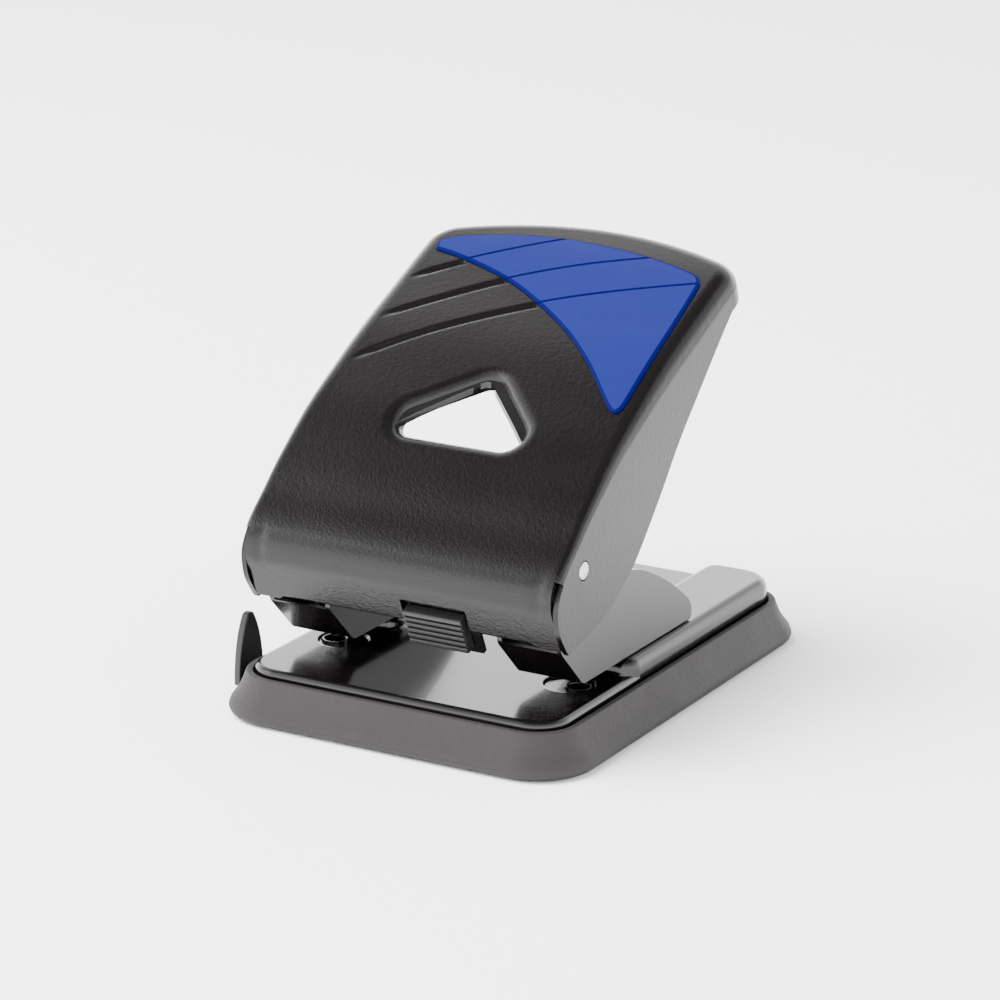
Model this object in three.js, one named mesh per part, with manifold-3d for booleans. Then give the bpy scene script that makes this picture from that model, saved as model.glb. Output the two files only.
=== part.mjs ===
// Desktop hole punch for two holes: a steel handle over two punch pins, on a pressed steel base
// that sits in a plastic chip tray. Millimetres, +Z up, the front of the punch faces -Y and
// the origin is the centre of the tray's underside.

import * as THREE from 'three';
import { mergeVertices } from 'three/addons/utils/BufferGeometryUtils.js';
import Module from 'manifold-3d';

const wasm = await Module();
wasm.setup();

// ---------------------------------------------------------------- driving dimensions

const GAP = 0.3;                    // clearance between pieces that touch
const CURVE_STEPS = 5;              // segments in a rounded corner
const ROUND_SIDES = 20;             // sides of a small turned piece

// holes and paper
const HOLE_SPACING = 80;
const PIN_DIAMETER = 5.5;
const BORE_CLEARANCE = 0.3;         // on the radius, around a pin, rod or axle
const EDGE_MARGIN = 12;             // hole centre to the edge of the paper
const PAPER_STOP_Y = -23.3;

// chip tray
const TRAY_WIDTH = 116;
const TRAY_DEPTH = 153;
const TRAY_CORNER = 18;
const TRAY_HEIGHT = 12.9;
const TRAY_FLOOR = 1.8;
const TRAY_RIM_INSET = 5.2;         // from the widest line of the skirt to the rim
const TRAY_RIM_WALL = 2;
const TRAY_LEDGE = 2.5;             // shelf under the edge of the base plate
const LEDGE_Z = 10.7;

// base plate
const PLATE_THICKNESS = 1.5;
const TABLE_Z = 15;                 // paper table
const RAISED_Z = 19.5;              // raised pads behind the paper stop
const PLATE_CORNER = 10.3;
const TABLE_EDGE_RADIUS = 1.8;
const PAD_EDGE_RADIUS = 3;
const PAD_CORNER = 5;
const PAD_INNER_X = 27;
const RECESS_DIAMETER = 14.8;       // dished recess around each die
const RECESS_DEPTH = 0.7;
const RECESS_SHIFT = 2.9;           // recess centre, inboard of the die

// dies
const DIE_COLLAR_DIAMETER = 7.6;
const DIE_FLANGE_DIAMETER = 11;
const DIE_FLANGE_THICKNESS = 1.6;
const DIE_STAND = 0.5;              // collar above the recess floor

// brackets
const BRACKET_THICKNESS = 1.5;
const BRACKET_OUTER_X = 47.2;
const BRACKET_INNER_X = 27;
const BRACKET_FRONT_Y = -46;
const BRACKET_REAR_Y = 17.5;
const BRACKET_FLANGE_RISE = 12.3;   // height and reach of the front flange's 45 degree slope
const BOSS_RADIUS = 7.5;
const RIVET_DIAMETER = 4;
const RIVET_HEAD_DIAMETER = 8;
const RIVET_HEAD_HEIGHT = 1.6;
const RIVET_X = 37;
const RIVET_ROWS = [-9, 9];

// pivot
const PIVOT_Y = -52.5;
const PIVOT_Z = 55;
const AXLE_DIAMETER = 5.2;
const AXLE_STAND = 0.4;             // axle end beyond the handle's side
const WASHER_DIAMETER = 10;

// press rod, carried by the handle behind the pivot
const ROD_DIAMETER = 6;
const ROD_ARM = 17.4;               // pivot to rod
const HANDLE_STROKE = THREE.MathUtils.degToRad(27);
const ROD_END_GAP = 1;
const ROD_CLIP_WALL = 0.5;          // thin, to clear the brackets' upper edges
const ROD_CLIP_THICKNESS = 1;

// pins and springs
const PIN_HEAD_DIAMETER = 7.5;
const PIN_HEAD_HEIGHT = 2;
const PIN_TIP_Z = 20.6;
const PIN_TIP_HOLLOW = 0.8;
const CLIP_Z = 49.3;
const CLIP_THICKNESS = 1;
const CLIP_DIAMETER = 10;
const GUIDE_DIAMETER = 8.8;
const GUIDE_SPIGOT_DIAMETER = 7.4;
const GUIDE_HEIGHT = 8;
const SPRING_MEAN_DIAMETER = 8.1;
const SPRING_WIRE = 1.1;
const SPRING_TURNS = 6;
const SPRING_STEPS = 10;            // segments in a turn

// handle
const HANDLE_WIDTH = 101.6;
const HANDLE_THICKNESS = 1.6;
const HANDLE_BEND = 3;              // outer radius between the panel and the sides
const LIP_WIDTH = 97.8;
const LIP_BOTTOM_Z = 34.3;
const LIP_RELIEF_Z = 55.3;          // top of the relief cuts beside the lip
const LIP_ARCH = 1.2;               // lower edge between the two corner tabs
const LIP_TAB = 8.5;                // width of each corner tab
const GRIP_SLOPE = THREE.MathUtils.degToRad(24);
const GRIP_END = 48;                // furthest point of the grip, along Y
const GRIP_TOP_Z = 123.2;           // outer face of the panel there
const GRIP_BOW = 9;                 // how far the end's corners stand back from its middle
const GRIP_CORNER = 10;
const OPENING_HALF_BASE = 22.5;     // triangular opening in the panel
const OPENING_FRONT_Y = -40.6;
const OPENING_REAR_Y = -15.5;
const OPENING_CORNER = 6;

// grip inlay
const INLAY_DEPTH = 0.5;            // sunk into the panel
const INLAY_STAND = 0.5;            // proud of the panel

// press channel under the panel
const CHANNEL_HALF_WIDTH = 26.5;    // between the brackets
const CHANNEL_THICKNESS = 1.5;
const CHANNEL_FRONT_Y = -45;
const CHANNEL_REAR_Y = -11;
const CHANNEL_EAR_FRONT_Y = -44;
const CHANNEL_EAR_REAR_Y = -31;
const CHANNEL_EAR_MARGIN = 5;       // around the rod's centre
const CHANNEL_WINDOW_MARGIN = 1;    // around the panel's opening

// lock
const LOCK_X = 10.5;
const LOCK_WIDTH = 18.4;
const LOCK_LENGTH = 11.6;
const LOCK_STAND = 2;               // button face in front of the lip
const LOCK_TOP_Z = 39.6;
const LOCK_SLOT_MARGIN = 1.2;
const LOCK_SLOT_TOP_Z = 42;
const LOCK_RIBS = 6;
const LOCK_RIB_DEPTH = 0.7;
const LOCK_PLATE_THICKNESS = 1.6;
const LOCK_PLATE_MARGIN = 2.4;
const LOCK_PLATE_ABOVE = 6;         // plate above the button's top
const LOCK_PLATE_LENGTH = 20;
const LOCK_HOOK_REACH = 4;
const LOCK_HOOK_THICKNESS = 2;
const LOCK_CARRIER_THICKNESS = 1;
const LOCK_CARRIER_BELOW = 4;       // carrier below the button's top

// paper guide
const GUIDE_Y = -50.3;
const RAIL_WIDTH = 9;
const RAIL_THICKNESS = 2.5;
const RAIL_Z = 4.4;
const RAIL_END_GAP = 2.3;           // rail's inner end to the tray's wall
const RAIL_TOOTH = 2;
const FIN_STANDOFF = 0.9;           // tray's side to the face that meets the paper's edge
const FIN_THICKNESS = 2.2;
const FIN_HALF_WIDTH = 6.3;
const FIN_BOTTOM_Z = 3;
const FIN_TOP_Z = 23.8;
const FIN_TIP_HALF_WIDTH = 1.6;
const FIN_TIP_HEIGHT = 0.6;
const FIN_SHOULDER = 0.62;          // of the height, where the sides turn inward
const CHANNEL_RIB = 2;
const BRIDGE_LENGTH = 4;
const BRIDGE_THICKNESS = 1.5;

// ---------------------------------------------------------------- dependent sizes

const PIN_X = HOLE_SPACING / 2;
const PIN_Y = PAPER_STOP_Y - EDGE_MARGIN;
const PIN_BORE = PIN_DIAMETER / 2 + BORE_CLEARANCE;
const AXLE_BORE = AXLE_DIAMETER / 2 + BORE_CLEARANCE;
const ROD_BORE = ROD_DIAMETER / 2 + BORE_CLEARANCE;

const RIM_HALF_X = TRAY_WIDTH / 2 - TRAY_RIM_INSET;
const RIM_HALF_Y = TRAY_DEPTH / 2 - TRAY_RIM_INSET;
const SEAT_HALF_X = RIM_HALF_X - TRAY_RIM_WALL;
const SEAT_HALF_Y = RIM_HALF_Y - TRAY_RIM_WALL;
const SEAT_CORNER = TRAY_CORNER - TRAY_RIM_INSET - TRAY_RIM_WALL;
const CAVITY_HALF_X = SEAT_HALF_X - TRAY_LEDGE;
const CAVITY_HALF_Y = SEAT_HALF_Y - TRAY_LEDGE;
const CAVITY_CORNER = SEAT_CORNER - TRAY_LEDGE;
const RAIL_INNER_END_X = CAVITY_HALF_X - RAIL_END_GAP;
const FIN_X = -TRAY_WIDTH / 2 - FIN_STANDOFF;

const PLATE_HALF_X = SEAT_HALF_X - 0.5;
const PLATE_HALF_Y = SEAT_HALF_Y - 0.5;
const PLATE_BOTTOM_Z = LEDGE_Z + GAP;
const TABLE_UNDERSIDE = TABLE_Z - PLATE_THICKNESS;
const RAISED_UNDERSIDE = RAISED_Z - PLATE_THICKNESS;
const RECESS_FLOOR = TABLE_Z - RECESS_DEPTH;

const WEB_Z = RAISED_Z + GAP;
const WEB_TOP = WEB_Z + BRACKET_THICKNESS;
const SPIGOT_TOP = WEB_TOP + GAP;
const GUIDE_TOP = SPIGOT_TOP + GUIDE_HEIGHT;

const HANDLE_HALF = HANDLE_WIDTH / 2;
const HANDLE_INNER = HANDLE_HALF - HANDLE_THICKNESS;
const ROD_ANGLE = HANDLE_STROKE / 2;
const ROD_Y = PIVOT_Y + ROD_ARM * Math.cos(ROD_ANGLE);
const ROD_Z = PIVOT_Z + ROD_ARM * Math.sin(ROD_ANGLE);
const PIN_TOP_Z = ROD_Z - ROD_DIAMETER / 2 - GAP;

const FAR = 400;

// ---------------------------------------------------------------- geometry helpers

function roundedShape(x0, x1, y0, y1, radii) {
  // radii: corner radii at (x0,y0), (x1,y0), (x1,y1), (x0,y1)
  const [a, b, c, d] = Array.isArray(radii) ? radii : [radii, radii, radii, radii];
  const shape = new THREE.Shape();
  shape.moveTo(x0 + a, y0);
  shape.lineTo(x1 - b, y0);
  shape.absarc(x1 - b, y0 + b, b, -Math.PI / 2, 0, false);
  shape.lineTo(x1, y1 - c);
  shape.absarc(x1 - c, y1 - c, c, 0, Math.PI / 2, false);
  shape.lineTo(x0 + d, y1);
  shape.absarc(x0 + d, y1 - d, d, Math.PI / 2, Math.PI, false);
  shape.lineTo(x0, y0 + a);
  shape.absarc(x0 + a, y0 + a, a, Math.PI, 1.5 * Math.PI, false);
  return shape;
}

function polygonShape(points) {
  return new THREE.Shape(points.map(([x, y]) => new THREE.Vector2(x, y)));
}

function extrude(shape, depth, options = {}) {
  return new THREE.ExtrudeGeometry(shape, {
    depth, bevelEnabled: false, curveSegments: CURVE_STEPS, ...options,
  });
}

// shape in XY, from z0 up to z1
function extrudeZ(shape, z0, z1) {
  return extrude(shape, z1 - z0).translate(0, 0, z0);
}

// shape in YZ, from x0 to x1
const ALONG_X = new THREE.Matrix4().makeBasis(
  new THREE.Vector3(0, 1, 0), new THREE.Vector3(0, 0, 1), new THREE.Vector3(1, 0, 0),
);

function extrudeX(shape, x0, x1, options = {}) {
  return extrude(shape, x1 - x0, options).applyMatrix4(ALONG_X).translate(x0, 0, 0);
}

// block with rounded upper edges, its lower part left square
function pressedBlock(outline, top, bottom, radius) {
  const bevel = {
    bevelEnabled: true, bevelThickness: radius, bevelSize: radius, bevelOffset: -radius,
    bevelSegments: 3,
  };
  const geometry = extrude(outline, top - bottom, bevel).translate(0, 0, bottom - radius);
  return solid(geometry);
}

function box(x0, x1, y0, y1, z0, z1) {
  const geometry = new THREE.BoxGeometry(x1 - x0, y1 - y0, z1 - z0);
  return geometry.translate((x0 + x1) / 2, (y0 + y1) / 2, (z0 + z1) / 2);
}

function cylinderZ(radius, x, y, z0, z1, sides = ROUND_SIDES) {
  const geometry = new THREE.CylinderGeometry(radius, radius, z1 - z0, sides);
  return geometry.rotateX(Math.PI / 2).translate(x, y, (z0 + z1) / 2);
}

function cylinderX(radius, y, z, x0, x1, sides = ROUND_SIDES) {
  const geometry = new THREE.CylinderGeometry(radius, radius, x1 - x0, sides);
  return geometry.rotateZ(Math.PI / 2).translate((x0 + x1) / 2, y, z);
}

// closed profile of [radius, z] pairs turned about Z
function turned(profile, sides = ROUND_SIDES) {
  const points = profile.map(([radius, z]) => new THREE.Vector2(radius, z));
  if (profile[0][0] > 0) points.push(points[0].clone());
  return new THREE.LatheGeometry(points, sides).rotateX(Math.PI / 2);
}

function ring(inner, outer, z0, z1, sides = ROUND_SIDES) {
  return turned([[inner, z0], [outer, z0], [outer, z1], [inner, z1]], sides);
}

// stack of rounded rectangles, one per [inset, z], joined into one closed body
function stackedBody(halfX, halfY, corner, levels) {
  const rings = levels.map(([inset, z]) => {
    const shape = roundedShape(
      inset - halfX, halfX - inset, inset - halfY, halfY - inset, corner - inset,
    );
    return shape.extractPoints(CURVE_STEPS).shape.map((p) => [p.x, p.y, z]);
  });
  const count = rings[0].length;
  const index = [];
  for (let level = 1; level < rings.length; level += 1) {
    for (let i = 0; i < count; i += 1) {
      const a = (level - 1) * count + i;
      const b = (level - 1) * count + ((i + 1) % count);
      index.push(a, b, b + count, a, b + count, a + count);
    }
  }
  const flat = rings[0].map(([x, y]) => new THREE.Vector2(x, y));
  const top = (rings.length - 1) * count;
  for (const [a, b, c] of THREE.ShapeUtils.triangulateShape(flat, [])) {
    index.push(c, b, a, top + a, top + b, top + c);
  }
  const geometry = new THREE.BufferGeometry();
  geometry.setAttribute('position', new THREE.Float32BufferAttribute(rings.flat(2), 3));
  geometry.setIndex(index);
  return geometry;
}

// ---------------------------------------------------------------- joins and cuts

function solid(geometry) {
  const bare = geometry.clone();
  bare.deleteAttribute('normal');
  bare.deleteAttribute('uv');
  const merged = mergeVertices(bare, 1e-4);
  return new wasm.Manifold(new wasm.Mesh({
    numProp: 3,
    vertProperties: new Float32Array(merged.attributes.position.array),
    triVerts: new Uint32Array(merged.index.array),
  }));
}

function asSolid(piece) {
  return piece instanceof THREE.BufferGeometry ? solid(piece) : piece;
}

function join(first, ...others) {
  return others.reduce((sum, piece) => sum.add(asSolid(piece)), asSolid(first));
}

function cut(first, ...others) {
  return others.reduce((left, piece) => left.subtract(asSolid(piece)), asSolid(first));
}

function common(first, ...others) {
  return others.reduce((sum, piece) => sum.intersect(asSolid(piece)), asSolid(first));
}

function toGeometry(piece) {
  if (piece instanceof THREE.BufferGeometry) return piece;
  const mesh = piece.getMesh();
  const geometry = new THREE.BufferGeometry();
  geometry.setAttribute('position', new THREE.BufferAttribute(mesh.vertProperties, 3));
  geometry.setIndex(new THREE.BufferAttribute(mesh.triVerts, 1));
  geometry.computeVertexNormals();
  return geometry;
}

// ---------------------------------------------------------------- finishes

const finish = (color, roughness, metalness) => ({ color, roughness, metalness });
const BLACK_PAINT = finish(0x151416, 0.3, 0.1);
const HANDLE_PAINT = finish(0x1c1b1e, 0.4, 0.1);
const BRIGHT_STEEL = finish(0xc9c7c4, 0.3, 1);
const TRAY_PLASTIC = finish(0x575355, 0.75, 0);
const DARK_PLASTIC = finish(0x2c2a2c, 0.6, 0);
const BLUE_PLASTIC = finish(0x3c50a8, 0.65, 0);

const punch = new THREE.Group();

function place(name, piece, look, parent = punch) {
  const mesh = new THREE.Mesh(toGeometry(piece), new THREE.MeshStandardMaterial(look));
  mesh.name = name;
  parent.add(mesh);
  return mesh;
}

const SIDES = [['left', -1], ['right', 1]];

// ---------------------------------------------------------------- chip tray

function chipTray() {
  const skirt = stackedBody(TRAY_WIDTH / 2, TRAY_DEPTH / 2, TRAY_CORNER, [
    [3.2, 0], [1, 0.8], [0, 2.2], [0.3, 3.6], [1.7, 5], [3, 7], [4.3, 10],
    [TRAY_RIM_INSET, TRAY_HEIGHT],
  ]);
  const cavity = extrudeZ(
    roundedShape(-CAVITY_HALF_X, CAVITY_HALF_X, -CAVITY_HALF_Y, CAVITY_HALF_Y, CAVITY_CORNER),
    TRAY_FLOOR, LEDGE_Z + GAP,
  );
  const seat = extrudeZ(
    roundedShape(-SEAT_HALF_X, SEAT_HALF_X, -SEAT_HALF_Y, SEAT_HALF_Y, SEAT_CORNER),
    LEDGE_Z, TRAY_HEIGHT + 1,
  );
  const slotHalf = RAIL_WIDTH / 2 + GAP;
  const slotBottom = RAIL_Z - GAP;
  const slotTop = RAIL_Z + RAIL_THICKNESS + GAP;
  const channelHalf = slotHalf + CHANNEL_RIB;
  const channelEnd = CAVITY_HALF_X + 1;
  const channel = box(
    -channelEnd, channelEnd, GUIDE_Y - channelHalf, GUIDE_Y + channelHalf, TRAY_FLOOR - 1, slotTop,
  );
  const bridge = box(
    -channelEnd, BRIDGE_LENGTH - CAVITY_HALF_X, GUIDE_Y - channelHalf, GUIDE_Y + channelHalf,
    slotTop - 0.1, slotTop + BRIDGE_THICKNESS,
  );
  const slot = box(
    -TRAY_WIDTH, RAIL_INNER_END_X + GAP, GUIDE_Y - slotHalf, GUIDE_Y + slotHalf, slotBottom, slotTop,
  );
  const toothPath = box(
    2 * BRIDGE_LENGTH - CAVITY_HALF_X, RAIL_INNER_END_X + GAP, GUIDE_Y - slotHalf,
    GUIDE_Y + slotHalf, slotBottom, slotTop + RAIL_TOOTH / 2,
  );
  return cut(join(cut(skirt, cavity, seat), channel, bridge), slot, toothPath);
}

place('chip_tray', chipTray(), TRAY_PLASTIC);

// ---------------------------------------------------------------- paper guide

function guideRail() {
  const front = GUIDE_Y - RAIL_WIDTH / 2;
  const rear = GUIDE_Y + RAIL_WIDTH / 2;
  const top = RAIL_Z + RAIL_THICKNESS;
  const bar = box(FIN_X + GAP, RAIL_INNER_END_X, front, rear, RAIL_Z, top);
  const tooth = box(
    RAIL_INNER_END_X - RAIL_TOOTH, RAIL_INNER_END_X, front, rear, top - 0.1, top + RAIL_TOOTH / 2,
  );
  return join(bar, tooth);
}

function guideFin() {
  const shape = new THREE.Shape();
  const front = GUIDE_Y - FIN_HALF_WIDTH;
  const rear = GUIDE_Y + FIN_HALF_WIDTH;
  const shoulder = FIN_BOTTOM_Z + FIN_SHOULDER * (FIN_TOP_Z - FIN_BOTTOM_Z);
  const tipZ = FIN_TOP_Z - FIN_TIP_HEIGHT;
  shape.moveTo(front, FIN_BOTTOM_Z);
  shape.lineTo(rear, FIN_BOTTOM_Z);
  shape.quadraticCurveTo(rear, shoulder, GUIDE_Y + FIN_TIP_HALF_WIDTH, tipZ);
  shape.quadraticCurveTo(GUIDE_Y, FIN_TOP_Z + FIN_TIP_HEIGHT, GUIDE_Y - FIN_TIP_HALF_WIDTH, tipZ);
  shape.quadraticCurveTo(front, shoulder, front, FIN_BOTTOM_Z);
  return extrudeX(shape, FIN_X - FIN_THICKNESS, FIN_X, { curveSegments: 8 });
}

place('guide_rail', guideRail(), DARK_PLASTIC);
place('guide_fin', guideFin(), DARK_PLASTIC);

// ---------------------------------------------------------------- base plate and dies

function plateBody(inset) {
  const x = PLATE_HALF_X - inset;
  const y = PLATE_HALF_Y - inset;
  const corner = PLATE_CORNER - inset;
  const table = pressedBlock(
    roundedShape(-x, x, -y, y, corner), TABLE_Z - inset, 0, TABLE_EDGE_RADIUS - inset / 2,
  );
  const pads = SIDES.map(([, side]) => {
    const inner = PAD_INNER_X + inset;
    const front = PAPER_STOP_Y + inset;
    const small = PAD_CORNER - inset;
    const shape = side < 0
      ? roundedShape(-x, -inner, front, y, [small, small, small, corner])
      : roundedShape(inner, x, front, y, [small, small, corner, small]);
    return pressedBlock(shape, RAISED_Z - inset, 0, PAD_EDGE_RADIUS - inset / 2);
  });
  return join(table, ...pads);
}

function basePlate() {
  const below = box(-FAR, FAR, -FAR, FAR, -FAR, PLATE_BOTTOM_Z);
  const holes = [];
  for (const [, side] of SIDES) {
    const recessX = side * (PIN_X - RECESS_SHIFT);
    const dieHole = DIE_COLLAR_DIAMETER / 2 + GAP;
    holes.push(cylinderZ(RECESS_DIAMETER / 2, recessX, PIN_Y, RECESS_FLOOR, TABLE_Z + 1, 28));
    holes.push(cylinderZ(dieHole, side * PIN_X, PIN_Y, 0, TABLE_Z + 1));
    for (const y of RIVET_ROWS) {
      holes.push(cylinderZ(RIVET_DIAMETER / 2 + GAP, side * RIVET_X, y, 0, RAISED_Z + 1, 16));
    }
  }
  return cut(plateBody(0), plateBody(PLATE_THICKNESS), below, ...holes);
}

function die() {
  const collar = DIE_COLLAR_DIAMETER / 2;
  const flange = DIE_FLANGE_DIAMETER / 2;
  const shoulder = TABLE_UNDERSIDE - GAP;
  return turned([
    [PIN_BORE, shoulder - DIE_FLANGE_THICKNESS],
    [flange, shoulder - DIE_FLANGE_THICKNESS],
    [flange, shoulder],
    [collar, shoulder],
    [collar, RECESS_FLOOR + DIE_STAND],
    [PIN_BORE, RECESS_FLOOR + DIE_STAND],
  ]);
}

place('base_plate', basePlate(), BLACK_PAINT);
for (const [name, side] of SIDES) {
  place(`die_${name}`, die(), BRIGHT_STEEL).position.set(side * PIN_X, PIN_Y, 0);
}

// ---------------------------------------------------------------- brackets

function earShape() {
  const slopeTop = BRACKET_FRONT_Y - BRACKET_FLANGE_RISE;
  const shape = new THREE.Shape();
  shape.moveTo(BRACKET_FRONT_Y, WEB_Z);
  shape.lineTo(BRACKET_REAR_Y, WEB_Z);
  shape.quadraticCurveTo(BRACKET_REAR_Y + 2.4, WEB_Z + 2, BRACKET_REAR_Y - 1, WEB_Z + 6.5);
  shape.quadraticCurveTo(2, 37.6, -13.5, 43.6);
  shape.quadraticCurveTo(-22, 46.6, -36, 46.6);
  shape.quadraticCurveTo(-43.5, 47, -45.2, PIVOT_Z);
  shape.absarc(PIVOT_Y, PIVOT_Z, BOSS_RADIUS, 0, Math.PI, false);
  shape.lineTo(slopeTop, WEB_Z + BRACKET_FLANGE_RISE);
  return shape;
}

function bracket(side) {
  const outer = BRACKET_OUTER_X;
  const inner = BRACKET_INNER_X;
  const t = BRACKET_THICKNESS;
  const slopeThickness = t * Math.SQRT2;
  const flangeTop = WEB_Z + BRACKET_FLANGE_RISE;
  const flangeShape = polygonShape([
    [BRACKET_FRONT_Y, WEB_Z],
    [BRACKET_FRONT_Y + slopeThickness, WEB_Z],
    [BRACKET_FRONT_Y + slopeThickness - BRACKET_FLANGE_RISE, flangeTop],
    [BRACKET_FRONT_Y - BRACKET_FLANGE_RISE, flangeTop],
  ]);
  const web = box(inner, outer, BRACKET_FRONT_Y, BRACKET_REAR_Y, WEB_Z, WEB_TOP);
  const body = join(
    extrudeX(earShape(), outer - t, outer),
    extrudeX(earShape(), inner, inner + t),
    extrudeX(flangeShape, inner, outer),
    web,
  );
  const holes = [
    cylinderX(AXLE_BORE, PIVOT_Y, PIVOT_Z, inner - 1, outer + 1),
    cylinderZ(GUIDE_SPIGOT_DIAMETER / 2 + GAP, PIN_X, PIN_Y, WEB_Z - 1, WEB_TOP + 1),
  ];
  for (const y of RIVET_ROWS) {
    holes.push(cylinderZ(RIVET_DIAMETER / 2 + GAP, RIVET_X, y, WEB_Z - 1, WEB_TOP + 1, 16));
  }
  const right = cut(body, ...holes);
  return side > 0 ? right : right.mirror([1, 0, 0]);
}

function pinGuide() {
  const body = GUIDE_DIAMETER / 2;
  const spigot = GUIDE_SPIGOT_DIAMETER / 2;
  return turned([
    [PIN_BORE, WEB_Z + 0.1], [spigot, WEB_Z + 0.1], [spigot, SPIGOT_TOP],
    [body, SPIGOT_TOP], [body, GUIDE_TOP], [PIN_BORE, GUIDE_TOP],
  ]);
}

function bracketRivet() {
  const shank = RIVET_DIAMETER / 2;
  const head = RIVET_HEAD_DIAMETER / 2;
  const under = RAISED_UNDERSIDE - GAP;
  const seat = WEB_TOP + GAP;
  return turned([
    [0, under - RIVET_HEAD_HEIGHT], [head - 1, under - RIVET_HEAD_HEIGHT], [head, under],
    [shank, under], [shank, seat], [head, seat],
    [head - 1, seat + RIVET_HEAD_HEIGHT], [0, seat + RIVET_HEAD_HEIGHT],
  ], 16);
}

for (const [name, side] of SIDES) {
  place(`bracket_${name}`, bracket(side), BLACK_PAINT);
  place(`pin_guide_${name}`, pinGuide(), BRIGHT_STEEL).position.set(side * PIN_X, PIN_Y, 0);
  RIVET_ROWS.forEach((y, row) => {
    const rivet = place(`bracket_rivet_${name}_${row + 1}`, bracketRivet(), BLACK_PAINT);
    rivet.position.set(side * RIVET_X, y, 0);
  });
}

// ---------------------------------------------------------------- pivot

const axleEnd = HANDLE_HALF + AXLE_STAND;
place(
  'pivot_axle',
  cylinderX(AXLE_DIAMETER / 2, PIVOT_Y, PIVOT_Z, -axleEnd, axleEnd),
  BRIGHT_STEEL,
);
for (const [name, side] of SIDES) {
  const washer = ring(
    AXLE_BORE, WASHER_DIAMETER / 2, BRACKET_OUTER_X + GAP, HANDLE_INNER - GAP,
  );
  const mesh = place(`axle_washer_${name}`, washer, BRIGHT_STEEL);
  mesh.rotation.y = side * Math.PI / 2;
  mesh.position.set(0, PIVOT_Y, PIVOT_Z);
}

// ---------------------------------------------------------------- pins and springs

function punchPin() {
  const shank = PIN_DIAMETER / 2;
  const head = PIN_HEAD_DIAMETER / 2;
  return turned([
    [0, PIN_TIP_Z + PIN_TIP_HOLLOW], [shank, PIN_TIP_Z],
    [shank, PIN_TOP_Z - PIN_HEAD_HEIGHT], [head, PIN_TOP_Z - PIN_HEAD_HEIGHT],
    [head, PIN_TOP_Z - 0.5], [head - 0.5, PIN_TOP_Z], [0, PIN_TOP_Z],
  ]);
}

class Helix extends THREE.Curve {
  constructor(radius, z0, z1, turns) {
    super();
    Object.assign(this, { radius, z0, z1, turns });
  }

  getPoint(t, target = new THREE.Vector3()) {
    const angle = 2 * Math.PI * this.turns * t;
    const z = this.z0 + (this.z1 - this.z0) * t;
    return target.set(this.radius * Math.cos(angle), this.radius * Math.sin(angle), z);
  }
}

function returnSpring() {
  const wire = SPRING_WIRE / 2;
  const bottom = GUIDE_TOP + GAP + wire;
  const top = CLIP_Z - GAP - wire;
  const path = new Helix(SPRING_MEAN_DIAMETER / 2, bottom, top, SPRING_TURNS);
  const section = new THREE.Shape();
  section.absarc(0, 0, wire, 0, 2 * Math.PI, false);
  return new THREE.ExtrudeGeometry(section, {
    steps: SPRING_TURNS * SPRING_STEPS, curveSegments: 3, extrudePath: path, bevelEnabled: false,
  });
}

for (const [name, side] of SIDES) {
  const x = side * PIN_X;
  const clip = ring(PIN_BORE, CLIP_DIAMETER / 2, CLIP_Z, CLIP_Z + CLIP_THICKNESS);
  place(`punch_pin_${name}`, punchPin(), BRIGHT_STEEL).position.set(x, PIN_Y, 0);
  place(`pin_clip_${name}`, clip, BRIGHT_STEEL).position.set(x, PIN_Y, 0);
  place(`return_spring_${name}`, returnSpring(), BRIGHT_STEEL).position.set(x, PIN_Y, 0);
}

// ---------------------------------------------------------------- handle

// outer face of the handle from the lip's lower edge to the grip's end, as [y, z]
const LIP_BOTTOM = [-61.9, LIP_BOTTOM_Z];
const CREASE = [-67.5, 47];
const PANEL_POINTS = [
  CREASE, [-67.5, 51.2], [-65.6, 55.2], [-62.2, 59], [-57, 63.6], [-51, 69.3], [-45.3, 74.2],
  [-33.6, 83.5], [-20.1, 91.9], [-4.7, 100.6], [13.5, 109.2], [33.2, 118], [GRIP_END, GRIP_TOP_Z],
];
const PANEL_STEPS = 18;

function panelProfile() {
  const curve = new THREE.SplineCurve(PANEL_POINTS.map(([y, z]) => new THREE.Vector2(y, z)));
  return [new THREE.Vector2(...LIP_BOTTOM), ...curve.getSpacedPoints(PANEL_STEPS)];
}

const PROFILE = panelProfile();

// the profile moved inward by a distance (outward if it is negative)
function profileAt(depth) {
  return PROFILE.map((point, i) => {
    const before = PROFILE[Math.max(i - 1, 0)];
    const after = PROFILE[Math.min(i + 1, PROFILE.length - 1)];
    const along = after.clone().sub(before).normalize();
    return point.clone().add(new THREE.Vector2(along.y, -along.x).multiplyScalar(depth));
  });
}

// region behind the profile, carried on past both of its ends
function regionBehind(depth) {
  const points = profileAt(depth);
  const first = points[0];
  const last = points[points.length - 1];
  const lip = first.clone().sub(points[1]).normalize().multiplyScalar(25).add(first);
  const end = last.clone().sub(points[points.length - 2]).normalize().multiplyScalar(30).add(last);
  return new THREE.Shape([
    lip, ...points, end, new THREE.Vector2(130, end.y), new THREE.Vector2(130, lip.y),
  ]);
}

// the part of a profile from y0 to y1, with its two ends put in
function between(points, y0, y1) {
  const at = (y) => {
    const i = points.findIndex((point) => point.x > y);
    const [a, b] = [points[i - 1], points[i]];
    return a.clone().lerp(b, (y - a.x) / (b.x - a.x));
  };
  return [at(y0), ...points.filter((point) => point.x > y0 && point.x < y1), at(y1)];
}

function strip(depthOut, depthIn) {
  return new THREE.Shape([...profileAt(depthOut), ...profileAt(depthIn).reverse()]);
}

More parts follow.
